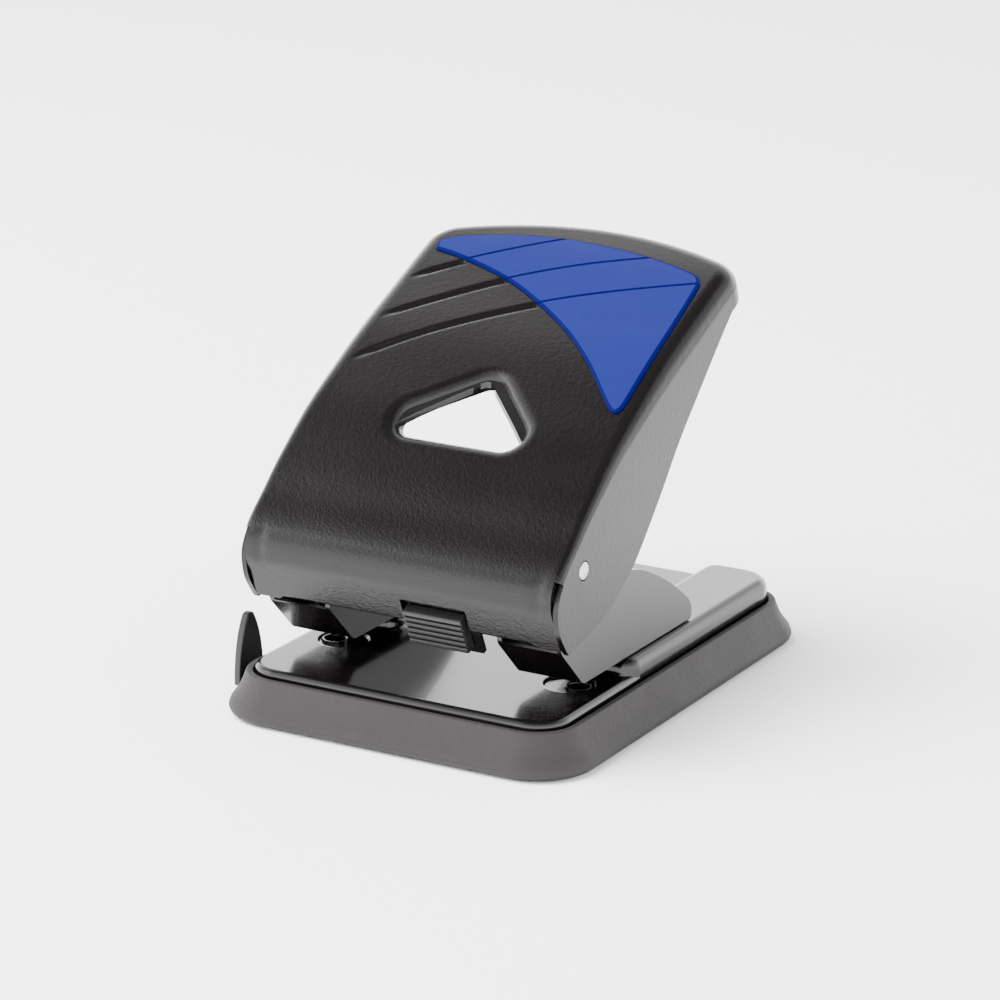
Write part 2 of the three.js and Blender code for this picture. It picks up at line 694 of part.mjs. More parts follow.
// outline of the grip seen square to its surface, extruded through the handle
function gripPrism(inset) {
  const half = HANDLE_HALF - inset;
  const corner = GRIP_CORNER - inset;
  const end = (GRIP_END - inset) / Math.cos(GRIP_SLOPE);
  const shape = new THREE.Shape();
  shape.moveTo(-half, -FAR);
  shape.lineTo(half, -FAR);
  shape.lineTo(half, end - GRIP_BOW - corner);
  shape.quadraticCurveTo(half, end - GRIP_BOW, half - corner, end - GRIP_BOW + 2);
  shape.quadraticCurveTo(half / 2, end, 0, end);
  shape.quadraticCurveTo(-half / 2, end, corner - half, end - GRIP_BOW + 2);
  shape.quadraticCurveTo(-half, end - GRIP_BOW, -half, end - GRIP_BOW - corner);
  const prism = extrude(shape, 2 * FAR).translate(0, 0, -FAR).rotateX(GRIP_SLOPE);
  return prism.translate(0, 0, GRIP_TOP_Z - GRIP_END * Math.tan(GRIP_SLOPE));
}

function roundedRegion(inset) {
  const bend = HANDLE_BEND - inset;
  const half = HANDLE_HALF - inset;
  const options = {
    bevelEnabled: true, bevelThickness: bend, bevelSize: bend, bevelOffset: -bend,
    bevelSegments: 4,
  };
  const block = extrudeX(regionBehind(inset), bend - half, half - bend, options);
  return common(block, gripPrism(inset));
}

// rear edge of the sides, from the lower front tip up to the grip
const SIDE_TIP = [-60.6, 33.2];
const SIDE_REAR = [
  [-41, 38.3], [-29, 45], [-21.5, 50.6], [-8.9, 64], [2.7, 77.5], [14.6, 89.3], [26.5, 100.8],
  [37.4, 110.3], [GRIP_END + 8, 124],
];
const SIDE_FRONT = [[-62.4, 35.4], [-65.7, 40.7], [-66.8, 46.7], [-65.8, 51], [-62.4, LIP_RELIEF_Z]];

function rearEdge() {
  const points = [SIDE_TIP, ...SIDE_REAR].map(([y, z]) => new THREE.Vector2(y, z));
  return new THREE.SplineCurve(points).getPoints(3 * SIDE_REAR.length);
}

// everything in front of and above the rear edge
function frontRegion() {
  return extrudeX(new THREE.Shape([
    new THREE.Vector2(-FAR, SIDE_TIP[1]), ...rearEdge(),
    new THREE.Vector2(FAR, FAR), new THREE.Vector2(-FAR, FAR),
  ]), -FAR, FAR);
}

// flat side below the bend, with its own front edge beside the lip
function sidePlate(side) {
  const under = profileAt(HANDLE_BEND - 0.5).filter((point) => point.y > LIP_RELIEF_Z + 2);
  const front = SIDE_FRONT.map(([y, z]) => new THREE.Vector2(y, z));
  const outline = new THREE.SplineCurve([new THREE.Vector2(...SIDE_TIP), ...front]).getPoints(15);
  const keep = under.filter((point) => point.x < 20);
  const rear = rearEdge().filter((point) => point.x < 0).reverse();
  const shape = new THREE.Shape([...outline, ...keep, ...rear.slice(0, -1)]);
  const x0 = side < 0 ? -HANDLE_HALF : HANDLE_INNER;
  return extrudeX(shape, x0, x0 + HANDLE_THICKNESS);
}

function openingPrism(grow) {
  const base = OPENING_HALF_BASE + grow;
  const front = OPENING_FRONT_Y - grow;
  const rear = OPENING_REAR_Y + grow;
  const r = OPENING_CORNER;
  const shape = new THREE.Shape();
  shape.moveTo(r - base, front);
  shape.lineTo(base - r, front);
  shape.quadraticCurveTo(base + 1, front, base - 0.2, front + r);
  shape.lineTo(r * 0.6, rear - r * 0.7);
  shape.quadraticCurveTo(0, rear + 1, -r * 0.6, rear - r * 0.7);
  shape.lineTo(0.2 - base, front + r);
  shape.quadraticCurveTo(-base - 1, front, r - base, front);
  return extrudeZ(shape, LIP_RELIEF_Z, FAR);
}

// outline of the blue grip inlay, seen from above
const INLAY_POINTS = [
  [-44.6, 30.6], [-38, 35.2], [-21.4, 38.9], [-3, 40], [24.9, 36.2], [39.8, 32.2], [43.3, 28],
  [44.2, 14], [45, -3], [45.2, -18], [43.2, -22], [38.8, -19], [27, -7.7], [13.7, 3],
  [-0.9, 12], [-14.4, 18.9], [-31.3, 24.9], [-43.6, 28.2],
];

function inlayPrism(grow) {
  const points = INLAY_POINTS.map(([x, y]) => new THREE.Vector2(x, y));
  const smooth = new THREE.SplineCurve([...points, points[0]]).getPoints(2 * points.length);
  smooth.pop();
  const centre = smooth.reduce((sum, p) => sum.add(p), new THREE.Vector2());
  centre.divideScalar(smooth.length);
  const grown = smooth.map((point, i) => {
    const before = smooth[(i + smooth.length - 1) % smooth.length];
    const after = smooth[(i + 1) % smooth.length];
    const along = after.clone().sub(before).normalize();
    return point.clone().add(new THREE.Vector2(-along.y, along.x).multiplyScalar(grow));
  });
  return extrudeZ(new THREE.Shape(grown), 60, FAR);
}

function handleShell() {
  const half = HANDLE_HALF;
  const sheet = cut(roundedRegion(0), roundedRegion(HANDLE_THICKNESS));
  const upper = common(sheet, frontRegion(), box(-FAR, FAR, -FAR, FAR, LIP_RELIEF_Z, FAR));
  const lipHalf = LIP_WIDTH / 2;
  const lip = common(
    extrudeX(strip(0, HANDLE_THICKNESS), -lipHalf, lipHalf),
    box(-FAR, FAR, -FAR, FAR, 0, LIP_RELIEF_Z + 0.5),
  );
  const arch = box(LIP_TAB - lipHalf, lipHalf - LIP_TAB, -FAR, FAR, 0, LIP_BOTTOM_Z + LIP_ARCH);
  const lockHalf = LOCK_WIDTH / 2 + LOCK_SLOT_MARGIN;
  const lockSlot = box(
    LOCK_X - lockHalf, LOCK_X + lockHalf, -FAR, PIVOT_Y, 0, LOCK_SLOT_TOP_Z,
  );
  const trimmed = cut(lip, arch, lockSlot);
  const recess = common(
    extrudeX(strip(-3, INLAY_DEPTH + GAP), -half, half), inlayPrism(GAP),
  );
  const bore = cylinderX(AXLE_BORE, PIVOT_Y, PIVOT_Z, -FAR, FAR);
  return cut(join(upper, trimmed, sidePlate(-1), sidePlate(1)), openingPrism(0), recess, bore);
}

function gripInlay() {
  return common(
    extrudeX(strip(-INLAY_STAND, INLAY_DEPTH), -HANDLE_HALF, HANDLE_HALF), inlayPrism(0),
  );
}

function pressChannel() {
  const inside = HANDLE_THICKNESS + GAP;
  const half = CHANNEL_HALF_WIDTH;
  const top = common(
    extrudeX(strip(inside, inside + CHANNEL_THICKNESS), -half, half),
    box(-FAR, FAR, CHANNEL_FRONT_Y, CHANNEL_REAR_Y, 0, FAR),
  );
  const under = profileAt(inside + CHANNEL_THICKNESS / 2);
  const edge = between(under, CHANNEL_EAR_FRONT_Y, CHANNEL_EAR_REAR_Y);
  const margin = CHANNEL_EAR_MARGIN;
  const corner = 0.6 * margin;
  const earOutline = new THREE.Shape([
    ...edge,
    new THREE.Vector2(ROD_Y + margin, ROD_Z - corner),
    new THREE.Vector2(ROD_Y + corner, ROD_Z - margin),
    new THREE.Vector2(ROD_Y - corner, ROD_Z - margin),
    new THREE.Vector2(ROD_Y - margin, ROD_Z - corner),
  ]);
  const ears = SIDES.map(([, side]) => {
    const x0 = side < 0 ? -half : half - CHANNEL_THICKNESS;
    return extrudeX(earOutline, x0, x0 + CHANNEL_THICKNESS);
  });
  const bore = cylinderX(ROD_BORE, ROD_Y, ROD_Z, -FAR, FAR);
  return cut(join(top, ...ears), bore, openingPrism(CHANNEL_WINDOW_MARGIN));
}

place('handle_shell', handleShell(), HANDLE_PAINT);
place('grip_inlay', gripInlay(), BLUE_PLASTIC);
place('press_channel', pressChannel(), BRIGHT_STEEL);

const rodEnd = HANDLE_INNER - ROD_END_GAP;
place('press_rod', cylinderX(ROD_DIAMETER / 2, ROD_Y, ROD_Z, -rodEnd, rodEnd), BRIGHT_STEEL);
for (const [name, side] of SIDES) {
  const near = CHANNEL_HALF_WIDTH + GAP;
  const clip = ring(
    ROD_BORE, ROD_BORE + ROD_CLIP_WALL, near, near + ROD_CLIP_THICKNESS,
  );
  const mesh = place(`rod_clip_${name}`, clip, BRIGHT_STEEL);
  mesh.rotation.y = side * Math.PI / 2;
  mesh.position.set(0, ROD_Y, ROD_Z);
}

// ---------------------------------------------------------------- lock

// frame on the lip: origin where the button's top meets the lip's outer face, local x across
// the punch, local y inward through the lip and local z up along it
const lipDown = new THREE.Vector2(LIP_BOTTOM[0] - CREASE[0], LIP_BOTTOM[1] - CREASE[1]).normalize();
const lock = new THREE.Group();
const lipAlong = (CREASE[1] - LOCK_TOP_Z) / -lipDown.y;
lock.position.set(LOCK_X, CREASE[0] + lipDown.x * lipAlong, LOCK_TOP_Z);
lock.rotation.x = Math.atan2(lipDown.x, -lipDown.y);
punch.add(lock);

const plateFront = HANDLE_THICKNESS + GAP;
const plateRear = plateFront + LOCK_PLATE_THICKNESS;
const plateHalf = LOCK_WIDTH / 2 + LOCK_PLATE_MARGIN;
const plateTop = LOCK_PLATE_ABOVE;
const plateBottom = plateTop - LOCK_PLATE_LENGTH;

function lockButton() {
  const half = LOCK_WIDTH / 2;
  const pitch = LOCK_LENGTH / LOCK_RIBS;
  const outline = [[plateFront - GAP, 0], [plateFront - GAP, -LOCK_LENGTH]];
  for (let rib = LOCK_RIBS; rib > 0; rib -= 1) {
    const low = -rib * pitch;
    outline.push([-LOCK_STAND, low + 0.15 * pitch], [-LOCK_STAND, low + 0.7 * pitch]);
    if (rib > 1) outline.push([LOCK_RIB_DEPTH - LOCK_STAND, low + 0.8 * pitch]);
    if (rib > 1) outline.push([LOCK_RIB_DEPTH - LOCK_STAND, low + pitch]);
  }
  outline.push([-LOCK_STAND, 0]);
  return extrudeX(polygonShape(outline), -half, half);
}

function lockPlate() {
  const plate = box(-plateHalf, plateHalf, plateFront, plateRear, plateBottom, plateTop);
  const hook = box(
    -plateHalf / 2, plateHalf / 2, plateRear - 0.1, plateRear + LOCK_HOOK_REACH,
    plateBottom, plateBottom + LOCK_HOOK_THICKNESS,
  );
  return join(plate, hook);
}

function lockCarrier() {
  const t = LOCK_CARRIER_THICKNESS;
  const half = plateHalf + GAP;
  const back = plateRear + GAP;
  const top = plateTop + GAP;
  const bottom = -LOCK_CARRIER_BELOW;
  const outside = box(-half - t, half + t, plateFront, back + t, bottom, top + t);
  const hollow = box(-half, half, plateFront - 1, back, bottom - 1, top);
  return cut(outside, hollow);
}

place('lock_button', lockButton(), DARK_PLASTIC, lock);
place('lock_plate', lockPlate(), DARK_PLASTIC, lock);
place('lock_carrier', lockCarrier(), BLACK_PAINT, lock);

export default punch;
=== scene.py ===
"""Looks of a desktop hole punch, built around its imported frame.

Every piece is modelled in millimetres, in the frame's own axes (+Z up, the front faces -Y),
and is scaled to metres when it is finished. Places come from the frame's boxes.
"""

import logging
import math
from dataclasses import dataclass, field
from enum import Enum
from typing import Callable, Sequence

import bmesh
import bpy
import numpy as np
from mathutils import Matrix, Vector


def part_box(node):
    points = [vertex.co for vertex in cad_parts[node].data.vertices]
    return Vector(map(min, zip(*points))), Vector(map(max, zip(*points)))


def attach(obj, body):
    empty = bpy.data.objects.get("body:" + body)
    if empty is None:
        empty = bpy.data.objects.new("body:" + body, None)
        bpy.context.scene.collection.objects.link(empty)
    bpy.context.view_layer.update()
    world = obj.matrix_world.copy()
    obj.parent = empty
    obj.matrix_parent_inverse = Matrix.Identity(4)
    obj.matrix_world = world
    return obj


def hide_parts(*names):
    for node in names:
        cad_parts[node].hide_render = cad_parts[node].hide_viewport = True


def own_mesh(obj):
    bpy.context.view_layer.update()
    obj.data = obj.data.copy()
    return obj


LOG = logging.getLogger("hole_punch")
MM = 0.001
SIDES = {"left": -1, "right": 1}
CLOSE = 1e-4  # points nearer than this, in millimetres, are one
FLAT = 0.01  # two places that differ by less than this, in millimetres, are level
OUTLINE_STEPS = 8
ROUND_STEPS = 48
Look = bpy.types.Material
Mesh = bmesh.types.BMesh
Edge = bmesh.types.BMEdge
Vert = bmesh.types.BMVert
Tree = bpy.types.NodeTree
Point = tuple[float, float]
Corner = tuple[float, float, float]


# ---------------------------------------------------------------- the frame

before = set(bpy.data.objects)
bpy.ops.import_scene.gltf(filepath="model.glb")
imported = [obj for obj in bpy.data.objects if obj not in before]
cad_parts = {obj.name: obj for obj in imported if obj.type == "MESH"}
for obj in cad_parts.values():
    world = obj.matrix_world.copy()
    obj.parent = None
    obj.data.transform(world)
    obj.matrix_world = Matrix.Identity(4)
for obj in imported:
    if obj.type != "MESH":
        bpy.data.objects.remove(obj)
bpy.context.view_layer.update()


@dataclass(frozen=True)
class Box:
    """A node's box at rest, in millimetres."""

    low: Vector
    high: Vector

    @classmethod
    def of(cls, node: str) -> "Box":
        """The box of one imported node."""
        low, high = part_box(node)
        return cls(Vector(low) / MM, Vector(high) / MM)

    @property
    def centre(self) -> Vector:
        """The middle of the box."""
        return (self.low + self.high) / 2

    @property
    def size(self) -> Vector:
        """The lengths of the box's sides."""
        return self.high - self.low


class Body(Enum):
    """The rigid bodies that pieces ride on."""

    BASE = "base"
    TRAY = "tray"
    GUIDE = "paper_guide"
    HANDLE = "handle"
    PIN_LEFT = "pin_left"
    PIN_RIGHT = "pin_right"
    LOCK = "lock"


# ---------------------------------------------------------------- node groups

def new_group(name: str, inputs: dict[str, float], outputs: Sequence[str]) -> Tree:
    """Makes an empty shader group.

    Args:
        name: the group's name.
        inputs: each input's name and default value.
        outputs: each output's name.

    Returns:
        The group, with its input and output nodes named "in" and "out".
    """
    group = bpy.data.node_groups.new(name, "ShaderNodeTree")
    for label, value in inputs.items():
        socket = group.interface.new_socket(label, in_out="INPUT", socket_type="NodeSocketFloat")
        socket.default_value = value
    for label in outputs:
        group.interface.new_socket(label, in_out="OUTPUT", socket_type="NodeSocketFloat")
    group.nodes.new("NodeGroupInput").name = "in"
    group.nodes.new("NodeGroupOutput").name = "out"
    return group


def add_math(
    tree: Tree, kind: str, first: bpy.types.NodeSocket, second: bpy.types.NodeSocket | float,
) -> bpy.types.NodeSocket:
    """Adds a Math node.

    Args:
        tree: where it goes.
        kind: its operation.
        first: the socket that it reads first.
        second: the socket or the number that it reads second.

    Returns:
        Its output.
    """
    node = tree.nodes.new("ShaderNodeMath")
    node.operation = kind
    tree.links.new(first, node.inputs[0])
    if isinstance(second, (int, float)):
        node.inputs[1].default_value = second
    else:
        tree.links.new(second, node.inputs[1])
    return node.outputs[0]


def add_noise(tree: Tree, scale: bpy.types.NodeSocket, detail: float = 2.0) -> bpy.types.NodeSocket:
    """Adds a Noise node on Object coordinates.

    Args:
        tree: where it goes.
        scale: the socket that gives its scale.
        detail: its detail.

    Returns:
        Its value output.
    """
    place = tree.nodes.new("ShaderNodeTexCoord").outputs["Object"]
    noise = tree.nodes.new("ShaderNodeTexNoise")
    noise.inputs["Detail"].default_value = detail
    tree.links.new(place, noise.inputs["Vector"])
    tree.links.new(scale, noise.inputs["Scale"])
    return noise.outputs[0]


def grain_group() -> Tree:
    """Fine raised grain: two sizes of noise, as a height and as a slow change of tone."""
    coarser = 0.43
    group = new_group(
        "grain", {"Scale": 900.0, "Coarse": 0.5, "Tone Scale": 30.0}, ("Height", "Tone"),
    )
    source = group.nodes["in"].outputs
    fine = add_noise(group, source["Scale"])
    coarse = add_noise(group, add_math(group, "MULTIPLY", source["Scale"], coarser))
    coarse = add_math(group, "MULTIPLY", coarse, source["Coarse"])
    height = add_math(group, "ADD", fine, coarse)
    tone = add_noise(group, source["Tone Scale"], 3.0)
    group.links.new(height, group.nodes["out"].inputs["Height"])
    group.links.new(tone, group.nodes["out"].inputs["Tone"])
    return group


def wear_group() -> Tree:
    """Mask of rubbed outer edges, broken up by noise."""
    group = new_group("edge_wear", {"Amount": 0.3, "Scale": 140.0}, ("Mask",))
    source = group.nodes["in"].outputs
    geometry = group.nodes.new("ShaderNodeNewGeometry")
    sharp = group.nodes.new("ShaderNodeMapRange")
    sharp.inputs["From Min"].default_value = 0.54
    sharp.inputs["From Max"].default_value = 0.62
    group.links.new(geometry.outputs["Pointiness"], sharp.inputs["Value"])
    noise = add_noise(group, source["Scale"])
    broken = add_math(group, "MULTIPLY", sharp.outputs["Result"], noise)
    mask = add_math(group, "MULTIPLY", broken, source["Amount"])
    group.links.new(mask, group.nodes["out"].inputs["Mask"])
    return group


def dust_group() -> Tree:
    """Mask of thin dust on faces that look up, in slow patches."""
    group = new_group("dust", {"Amount": 0.1, "Scale": 60.0}, ("Mask",))
    source = group.nodes["in"].outputs
    geometry = group.nodes.new("ShaderNodeNewGeometry")
    split = group.nodes.new("ShaderNodeSeparateXYZ")
    group.links.new(geometry.outputs["Normal"], split.inputs[0])
    upward = group.nodes.new("ShaderNodeClamp")
    group.links.new(split.outputs["Z"], upward.inputs["Value"])
    noise = add_noise(group, source["Scale"], 6.0)
    patch = add_math(group, "MULTIPLY", upward.outputs[0], noise)
    mask = add_math(group, "MULTIPLY", patch, source["Amount"])
    group.links.new(mask, group.nodes["out"].inputs["Mask"])
    return group


@dataclass
class Effects:
    """The shared groups that the finishes use."""

    grain: Tree = field(default_factory=grain_group)
    wear: Tree = field(default_factory=wear_group)
    dust: Tree = field(default_factory=dust_group)


# ---------------------------------------------------------------- finishes

@dataclass(frozen=True)
class Finish:
    """One finish of the punch. Colours are linear; grain scales are per metre.

    Attributes:
        label: the material's name.
        colour: the main colour.
        second: the colour that the slow tone, the dust and the wear shift it to.
        roughness: the lowest and highest roughness that the tone gives.
        metallic: the shader's metallic value.
        specular: the shader's specular level.
        coat: weight and roughness of the clear coat.
        grain: scale of the grain, its coarse share and its bump height in metres.
        tone: scale of the slow tone and its share in the colour.
        wear: amount of edge wear.
        dust: amount of dust.
    """

    label: str
    colour: tuple[float, float, float]
    second: tuple[float, float, float]
    roughness: tuple[float, float] = (0.4, 0.5)
    metallic: float = 0.0
    specular: float = 0.5
    coat: tuple[float, float] = (0.0, 0.1)
    grain: tuple[float, float, float] = (900.0, 0.5, 0.00002)
    tone: tuple[float, float] = (30.0, 0.2)
    wear: float = 0.2
    dust: float = 0.1

    def build(self, effects: Effects) -> Look:
        """Makes the material.

        Args:
            effects: the shared groups.

        Returns:
            The new material.
        """
        material = bpy.data.materials.new(self.label)
        material.use_nodes = True
        tree = material.node_tree
        shader = tree.nodes["Principled BSDF"]
        shader.inputs["Metallic"].default_value = self.metallic
        shader.inputs["Specular IOR Level"].default_value = self.specular
        shader.inputs["Coat Weight"].default_value = self.coat[0]
        shader.inputs["Coat Roughness"].default_value = self.coat[1]
        grain = self._placed(tree, effects.grain, {
            "Scale": self.grain[0], "Coarse": self.grain[1], "Tone Scale": self.tone[0],
        })
        wear = self._placed(tree, effects.wear, {"Amount": self.wear})
        dust = self._placed(tree, effects.dust, {"Amount": self.dust})
        shift = add_math(tree, "MULTIPLY", grain.outputs["Tone"], self.tone[1])
        shift = add_math(tree, "ADD", shift, wear.outputs["Mask"])
        shift = add_math(tree, "ADD", shift, dust.outputs["Mask"])
        mix = tree.nodes.new("ShaderNodeMix")
        mix.data_type = "RGBA"
        mix.inputs["A"].default_value = (*self.colour, 1.0)
        mix.inputs["B"].default_value = (*self.second, 1.0)
        tree.links.new(shift, mix.inputs["Factor"])
        tree.links.new(mix.outputs["Result"], shader.inputs["Base Color"])
        gloss = tree.nodes.new("ShaderNodeMapRange")
        gloss.inputs["To Min"].default_value = self.roughness[0]
        gloss.inputs["To Max"].default_value = self.roughness[1]
        gloss.inputs["From Min"].default_value = 0.3
        gloss.inputs["From Max"].default_value = 0.7
        tree.links.new(grain.outputs["Tone"], gloss.inputs["Value"])
        tree.links.new(gloss.outputs["Result"], shader.inputs["Roughness"])
        bump = tree.nodes.new("ShaderNodeBump")
        bump.inputs["Distance"].default_value = self.grain[2]
        tree.links.new(grain.outputs["Height"], bump.inputs["Height"])
        tree.links.new(bump.outputs["Normal"], shader.inputs["Normal"])
        return material

    @staticmethod
    def _placed(tree: Tree, group: Tree, values: dict[str, float]) -> bpy.types.Node:
        """Places a shared group in a material.

        Args:
            tree: the material's nodes.
            group: the shared group.
            values: the material's own value for each of the group's inputs.

        Returns:
            The group's node.
        """
        node = tree.nodes.new("ShaderNodeGroup")
        node.node_tree = group
        for label, value in values.items():
            node.inputs[label].default_value = value
        return node


HANDLE_PAINT = Finish(
    "handle_paint", (0.0016, 0.0011, 0.0011), (0.014, 0.0105, 0.0105), roughness=(0.18, 0.24),
    specular=0.3, coat=(0.05, 0.1), grain=(1500.0, 0.6, 0.00008), tone=(40.0, 0.04), wear=0.3,
    dust=0.03,
)
BASE_PAINT = Finish(
    "base_paint", (0.0013, 0.0009, 0.0009), (0.012, 0.0095, 0.0095), roughness=(0.17, 0.22),
    specular=0.33, coat=(0.25, 0.05), grain=(500.0, 0.6, 0.00001), tone=(30.0, 0.04), wear=0.5,
    dust=0.05,
)
PLATED_STEEL = Finish(
    "plated_steel", (0.62, 0.61, 0.58), (0.35, 0.34, 0.33), roughness=(0.18, 0.32),
    metallic=1.0, grain=(1500.0, 0.3, 0.000006), tone=(90.0, 0.35), wear=0.0, dust=0.05,
)
SPRING_STEEL = Finish(
    "spring_steel", (0.42, 0.41, 0.4), (0.2, 0.19, 0.18), roughness=(0.22, 0.36),
    metallic=1.0, grain=(1800.0, 0.3, 0.000006), tone=(120.0, 0.4), wear=0.0, dust=0.05,
)
TRAY_PLASTIC = Finish(
    "tray_plastic", (0.0165, 0.0145, 0.0152), (0.036, 0.0325, 0.0335), roughness=(0.55, 0.68),
    specular=0.25, grain=(1100.0, 0.8, 0.00011), tone=(45.0, 0.22), wear=0.5, dust=0.2,
)
SATIN_PLASTIC = Finish(
    "satin_plastic", (0.006, 0.0055, 0.006), (0.02, 0.019, 0.0195), roughness=(0.4, 0.5),
    specular=0.45, grain=(1400.0, 0.5, 0.00003), tone=(60.0, 0.15), wear=0.6, dust=0.1,
)
BLUE_GRIP = Finish(
    "blue_grip", (0.0016, 0.0048, 0.074), (0.004, 0.0085, 0.09), roughness=(0.5, 0.6),
    specular=0.2, grain=(1700.0, 0.5, 0.00005), tone=(70.0, 0.3), wear=0.2, dust=0.1,
)
# Darker blue for the inlay's side walls, edge rings and cut lines: painted shade, not a colour that
# the inlay has.
GRIP_SHADE_BLUE = Finish(
    "grip_painted_shade", (0.0004, 0.0008, 0.044), (0.0008, 0.0012, 0.05), roughness=(0.6, 0.7),
    specular=0.05, grain=(1700.0, 0.5, 0.00002), tone=(70.0, 0.3), wear=0.2, dust=0.05,
)
FLOOR_WHITE = Finish(
    "floor_white", (0.93, 0.93, 0.93), (0.9, 0.9, 0.9), roughness=(0.8, 0.9), specular=0.2,
    grain=(60.0, 0.5, 0.00001), tone=(2.0, 0.1), wear=0.0, dust=0.0,
)


class Slot(Enum):
    """The record's material slots."""

    HANDLE = "handle_paint"
    BASE = "base_paint"
    STEEL = "bright_steel"
    TRAY = "tray_plastic"
    DARK = "dark_plastic"
    BLUE = "blue_grip"


# ---------------------------------------------------------------- shapes

def rounded(corners: Sequence[Corner], steps: int = OUTLINE_STEPS) -> list[Vector]:
    """Points round a polygon whose corners are rounded.

    Args:
        corners: each corner's x, y and radius, counter-clockwise.
        steps: segments in each rounded corner.

    Returns:
        The points in order, at height 0.
    """
    bm = bmesh.new()
    bm.faces.new([bm.verts.new((x, y, 0)) for x, y, _ in corners])
    for i, vert in enumerate(list(bm.verts)):
        x, y, radius = corners[i]
        if radius <= 0:
            continue
        here = Vector((x, y))
        before = (Vector(corners[i - 1][:2]) - here).normalized()
        after = (Vector(corners[(i + 1) % len(corners)][:2]) - here).normalized()
        bmesh.ops.bevel(
            bm, geom=[vert], offset=radius / math.tan(before.angle(after) / 2),
            affect="VERTICES", segments=steps, profile=0.5, material=-1, clamp_overlap=False,
        )
    bm.faces.ensure_lookup_table()
    points = [loop.vert.co.copy() for loop in bm.faces[0].loops]
    bm.free()
    return points


def add_face(bm: Mesh, points: Sequence[Vector], z: float) -> bmesh.types.BMFace:
    """Adds one flat face through points, at a height."""
    return bm.faces.new([bm.verts.new((point.x, point.y, z)) for point in points])


def rectangle(x0: float, x1: float, y0: float, y1: float,
              radii: Sequence[float]) -> list[Corner]:
    """Corners of a rectangle.

    Args:
        x0: its left side.
        x1: its right side.
        y0: its front side.
        y1: its rear side.
        radii: the radii at (x0, y0), (x1, y0), (x1, y1) and (x0, y1).

    Returns:
        Its four corners, counter-clockwise.
    """
    places = ((x0, y0), (x1, y0), (x1, y1), (x0, y1))
    return [(*place, radius) for place, radius in zip(places, radii)]


def centred(half_x: float, half_y: float, radius: float) -> list[Corner]:
    """Corners of a rectangle about the origin, all with one radius."""
    return rectangle(-half_x, half_x, -half_y, half_y, [radius] * 4)


def prism(corners: Sequence[Corner], z0: float, z1: float, steps: int) -> Mesh:
    """A closed prism of a rounded polygon.

    Args:
        corners: each corner's x, y and radius, counter-clockwise.
        z0: the height of its underside.
        z1: the height of its top.
        steps: segments in each rounded corner.

    Returns:
        The prism.
    """
    bm = bmesh.new()
    face = add_face(bm, rounded(corners, steps), z0)
    made = bmesh.ops.extrude_face_region(bm, geom=[face])
    top = [item for item in made["geom"] if isinstance(item, Vert)]
    bmesh.ops.translate(bm, vec=(0, 0, z1 - z0), verts=top)
    bmesh.ops.recalc_face_normals(bm, faces=bm.faces)
    return bm


def side_prism(corners: Sequence[Corner], x0: float, x1: float,
               steps: int = OUTLINE_STEPS) -> Mesh:
    """A closed prism whose polygon lies in the YZ plane.

    Args:
        corners: each corner's y, z and radius, counter-clockwise.
        x0: where it starts.
        x1: where it ends.
        steps: segments in each rounded corner.

    Returns:
        The prism.
    """
    bm = prism(corners, x0, x1, steps)
    turn = Matrix(((0, 0, 1), (1, 0, 0), (0, 1, 0)))
    bmesh.ops.transform(bm, matrix=turn.to_4x4(), verts=bm.verts)
    bmesh.ops.recalc_face_normals(bm, faces=bm.faces)
    return bm


def block(low: Vector, high: Vector) -> Mesh:
    """A plain box.

    Args:
        low: its lowest corner.
        high: the corner opposite.

    Returns:
        The box.
    """
    bm = bmesh.new()
    bmesh.ops.create_cube(bm, size=1.0)
    bmesh.ops.scale(bm, vec=high - low, verts=bm.verts)
    bmesh.ops.translate(bm, vec=(low + high) / 2, verts=bm.verts)
    return bm


def round_edges(bm: Mesh, chosen: Callable[[Edge], bool], radius: float, steps: int) -> None:
    """Rounds some edges of a mesh.

    Args:
        bm: the mesh.
        chosen: says of an edge whether it is rounded.
        radius: the rounding's width.
        steps: the rounding's segments.
    """
    edges = [edge for edge in bm.edges if chosen(edge)]
    bmesh.ops.bevel(
        bm, geom=edges, offset=radius, affect="EDGES", segments=steps, profile=0.5, material=-1,
        clamp_overlap=True,
    )


def lathe(profile: Sequence[Point], steps: int = ROUND_STEPS) -> Mesh:
    """Turns a profile of (radius, z) pairs about Z.

    Args:
        profile: the profile, closed on itself or starting and ending on the axis.
        steps: segments round the axis.

    Returns:
        The turned solid.
    """
    bm = bmesh.new()
    verts = [bm.verts.new((radius, 0, z)) for radius, z in profile]
    edges = [bm.edges.new(pair) for pair in zip(verts, verts[1:])]
    if profile[0][0] > 0:
        edges.append(bm.edges.new((verts[-1], verts[0])))
    bmesh.ops.spin(
        bm, geom=verts + edges, cent=(0, 0, 0), axis=(0, 0, 1), dvec=(0, 0, 0),
        angle=2 * math.pi, steps=steps, use_merge=True,
    )
    bmesh.ops.remove_doubles(bm, verts=bm.verts, dist=CLOSE)
    bmesh.ops.recalc_face_normals(bm, faces=bm.faces)
    return bm


def plug(radius: float, z0: float, z1: float, steps: int = ROUND_STEPS) -> Mesh:
    """A plain cylinder about Z between two heights, to cut a hole with."""
    return lathe([(0, z0), (radius, z0), (radius, z1), (0, z1)], steps)


def washer(inner: float, outer: float, z0: float, z1: float) -> Mesh:
    """A plain ring about Z between two heights."""
    return lathe([(inner, z0), (outer, z0), (outer, z1), (inner, z1)])


def bar_profile(low: Sequence[Point]) -> list[Point]:
    """A bar's whole profile, from one end's profile and the same one mirrored."""
    return [*low, *((radius, -z) for radius, z in reversed(low))]


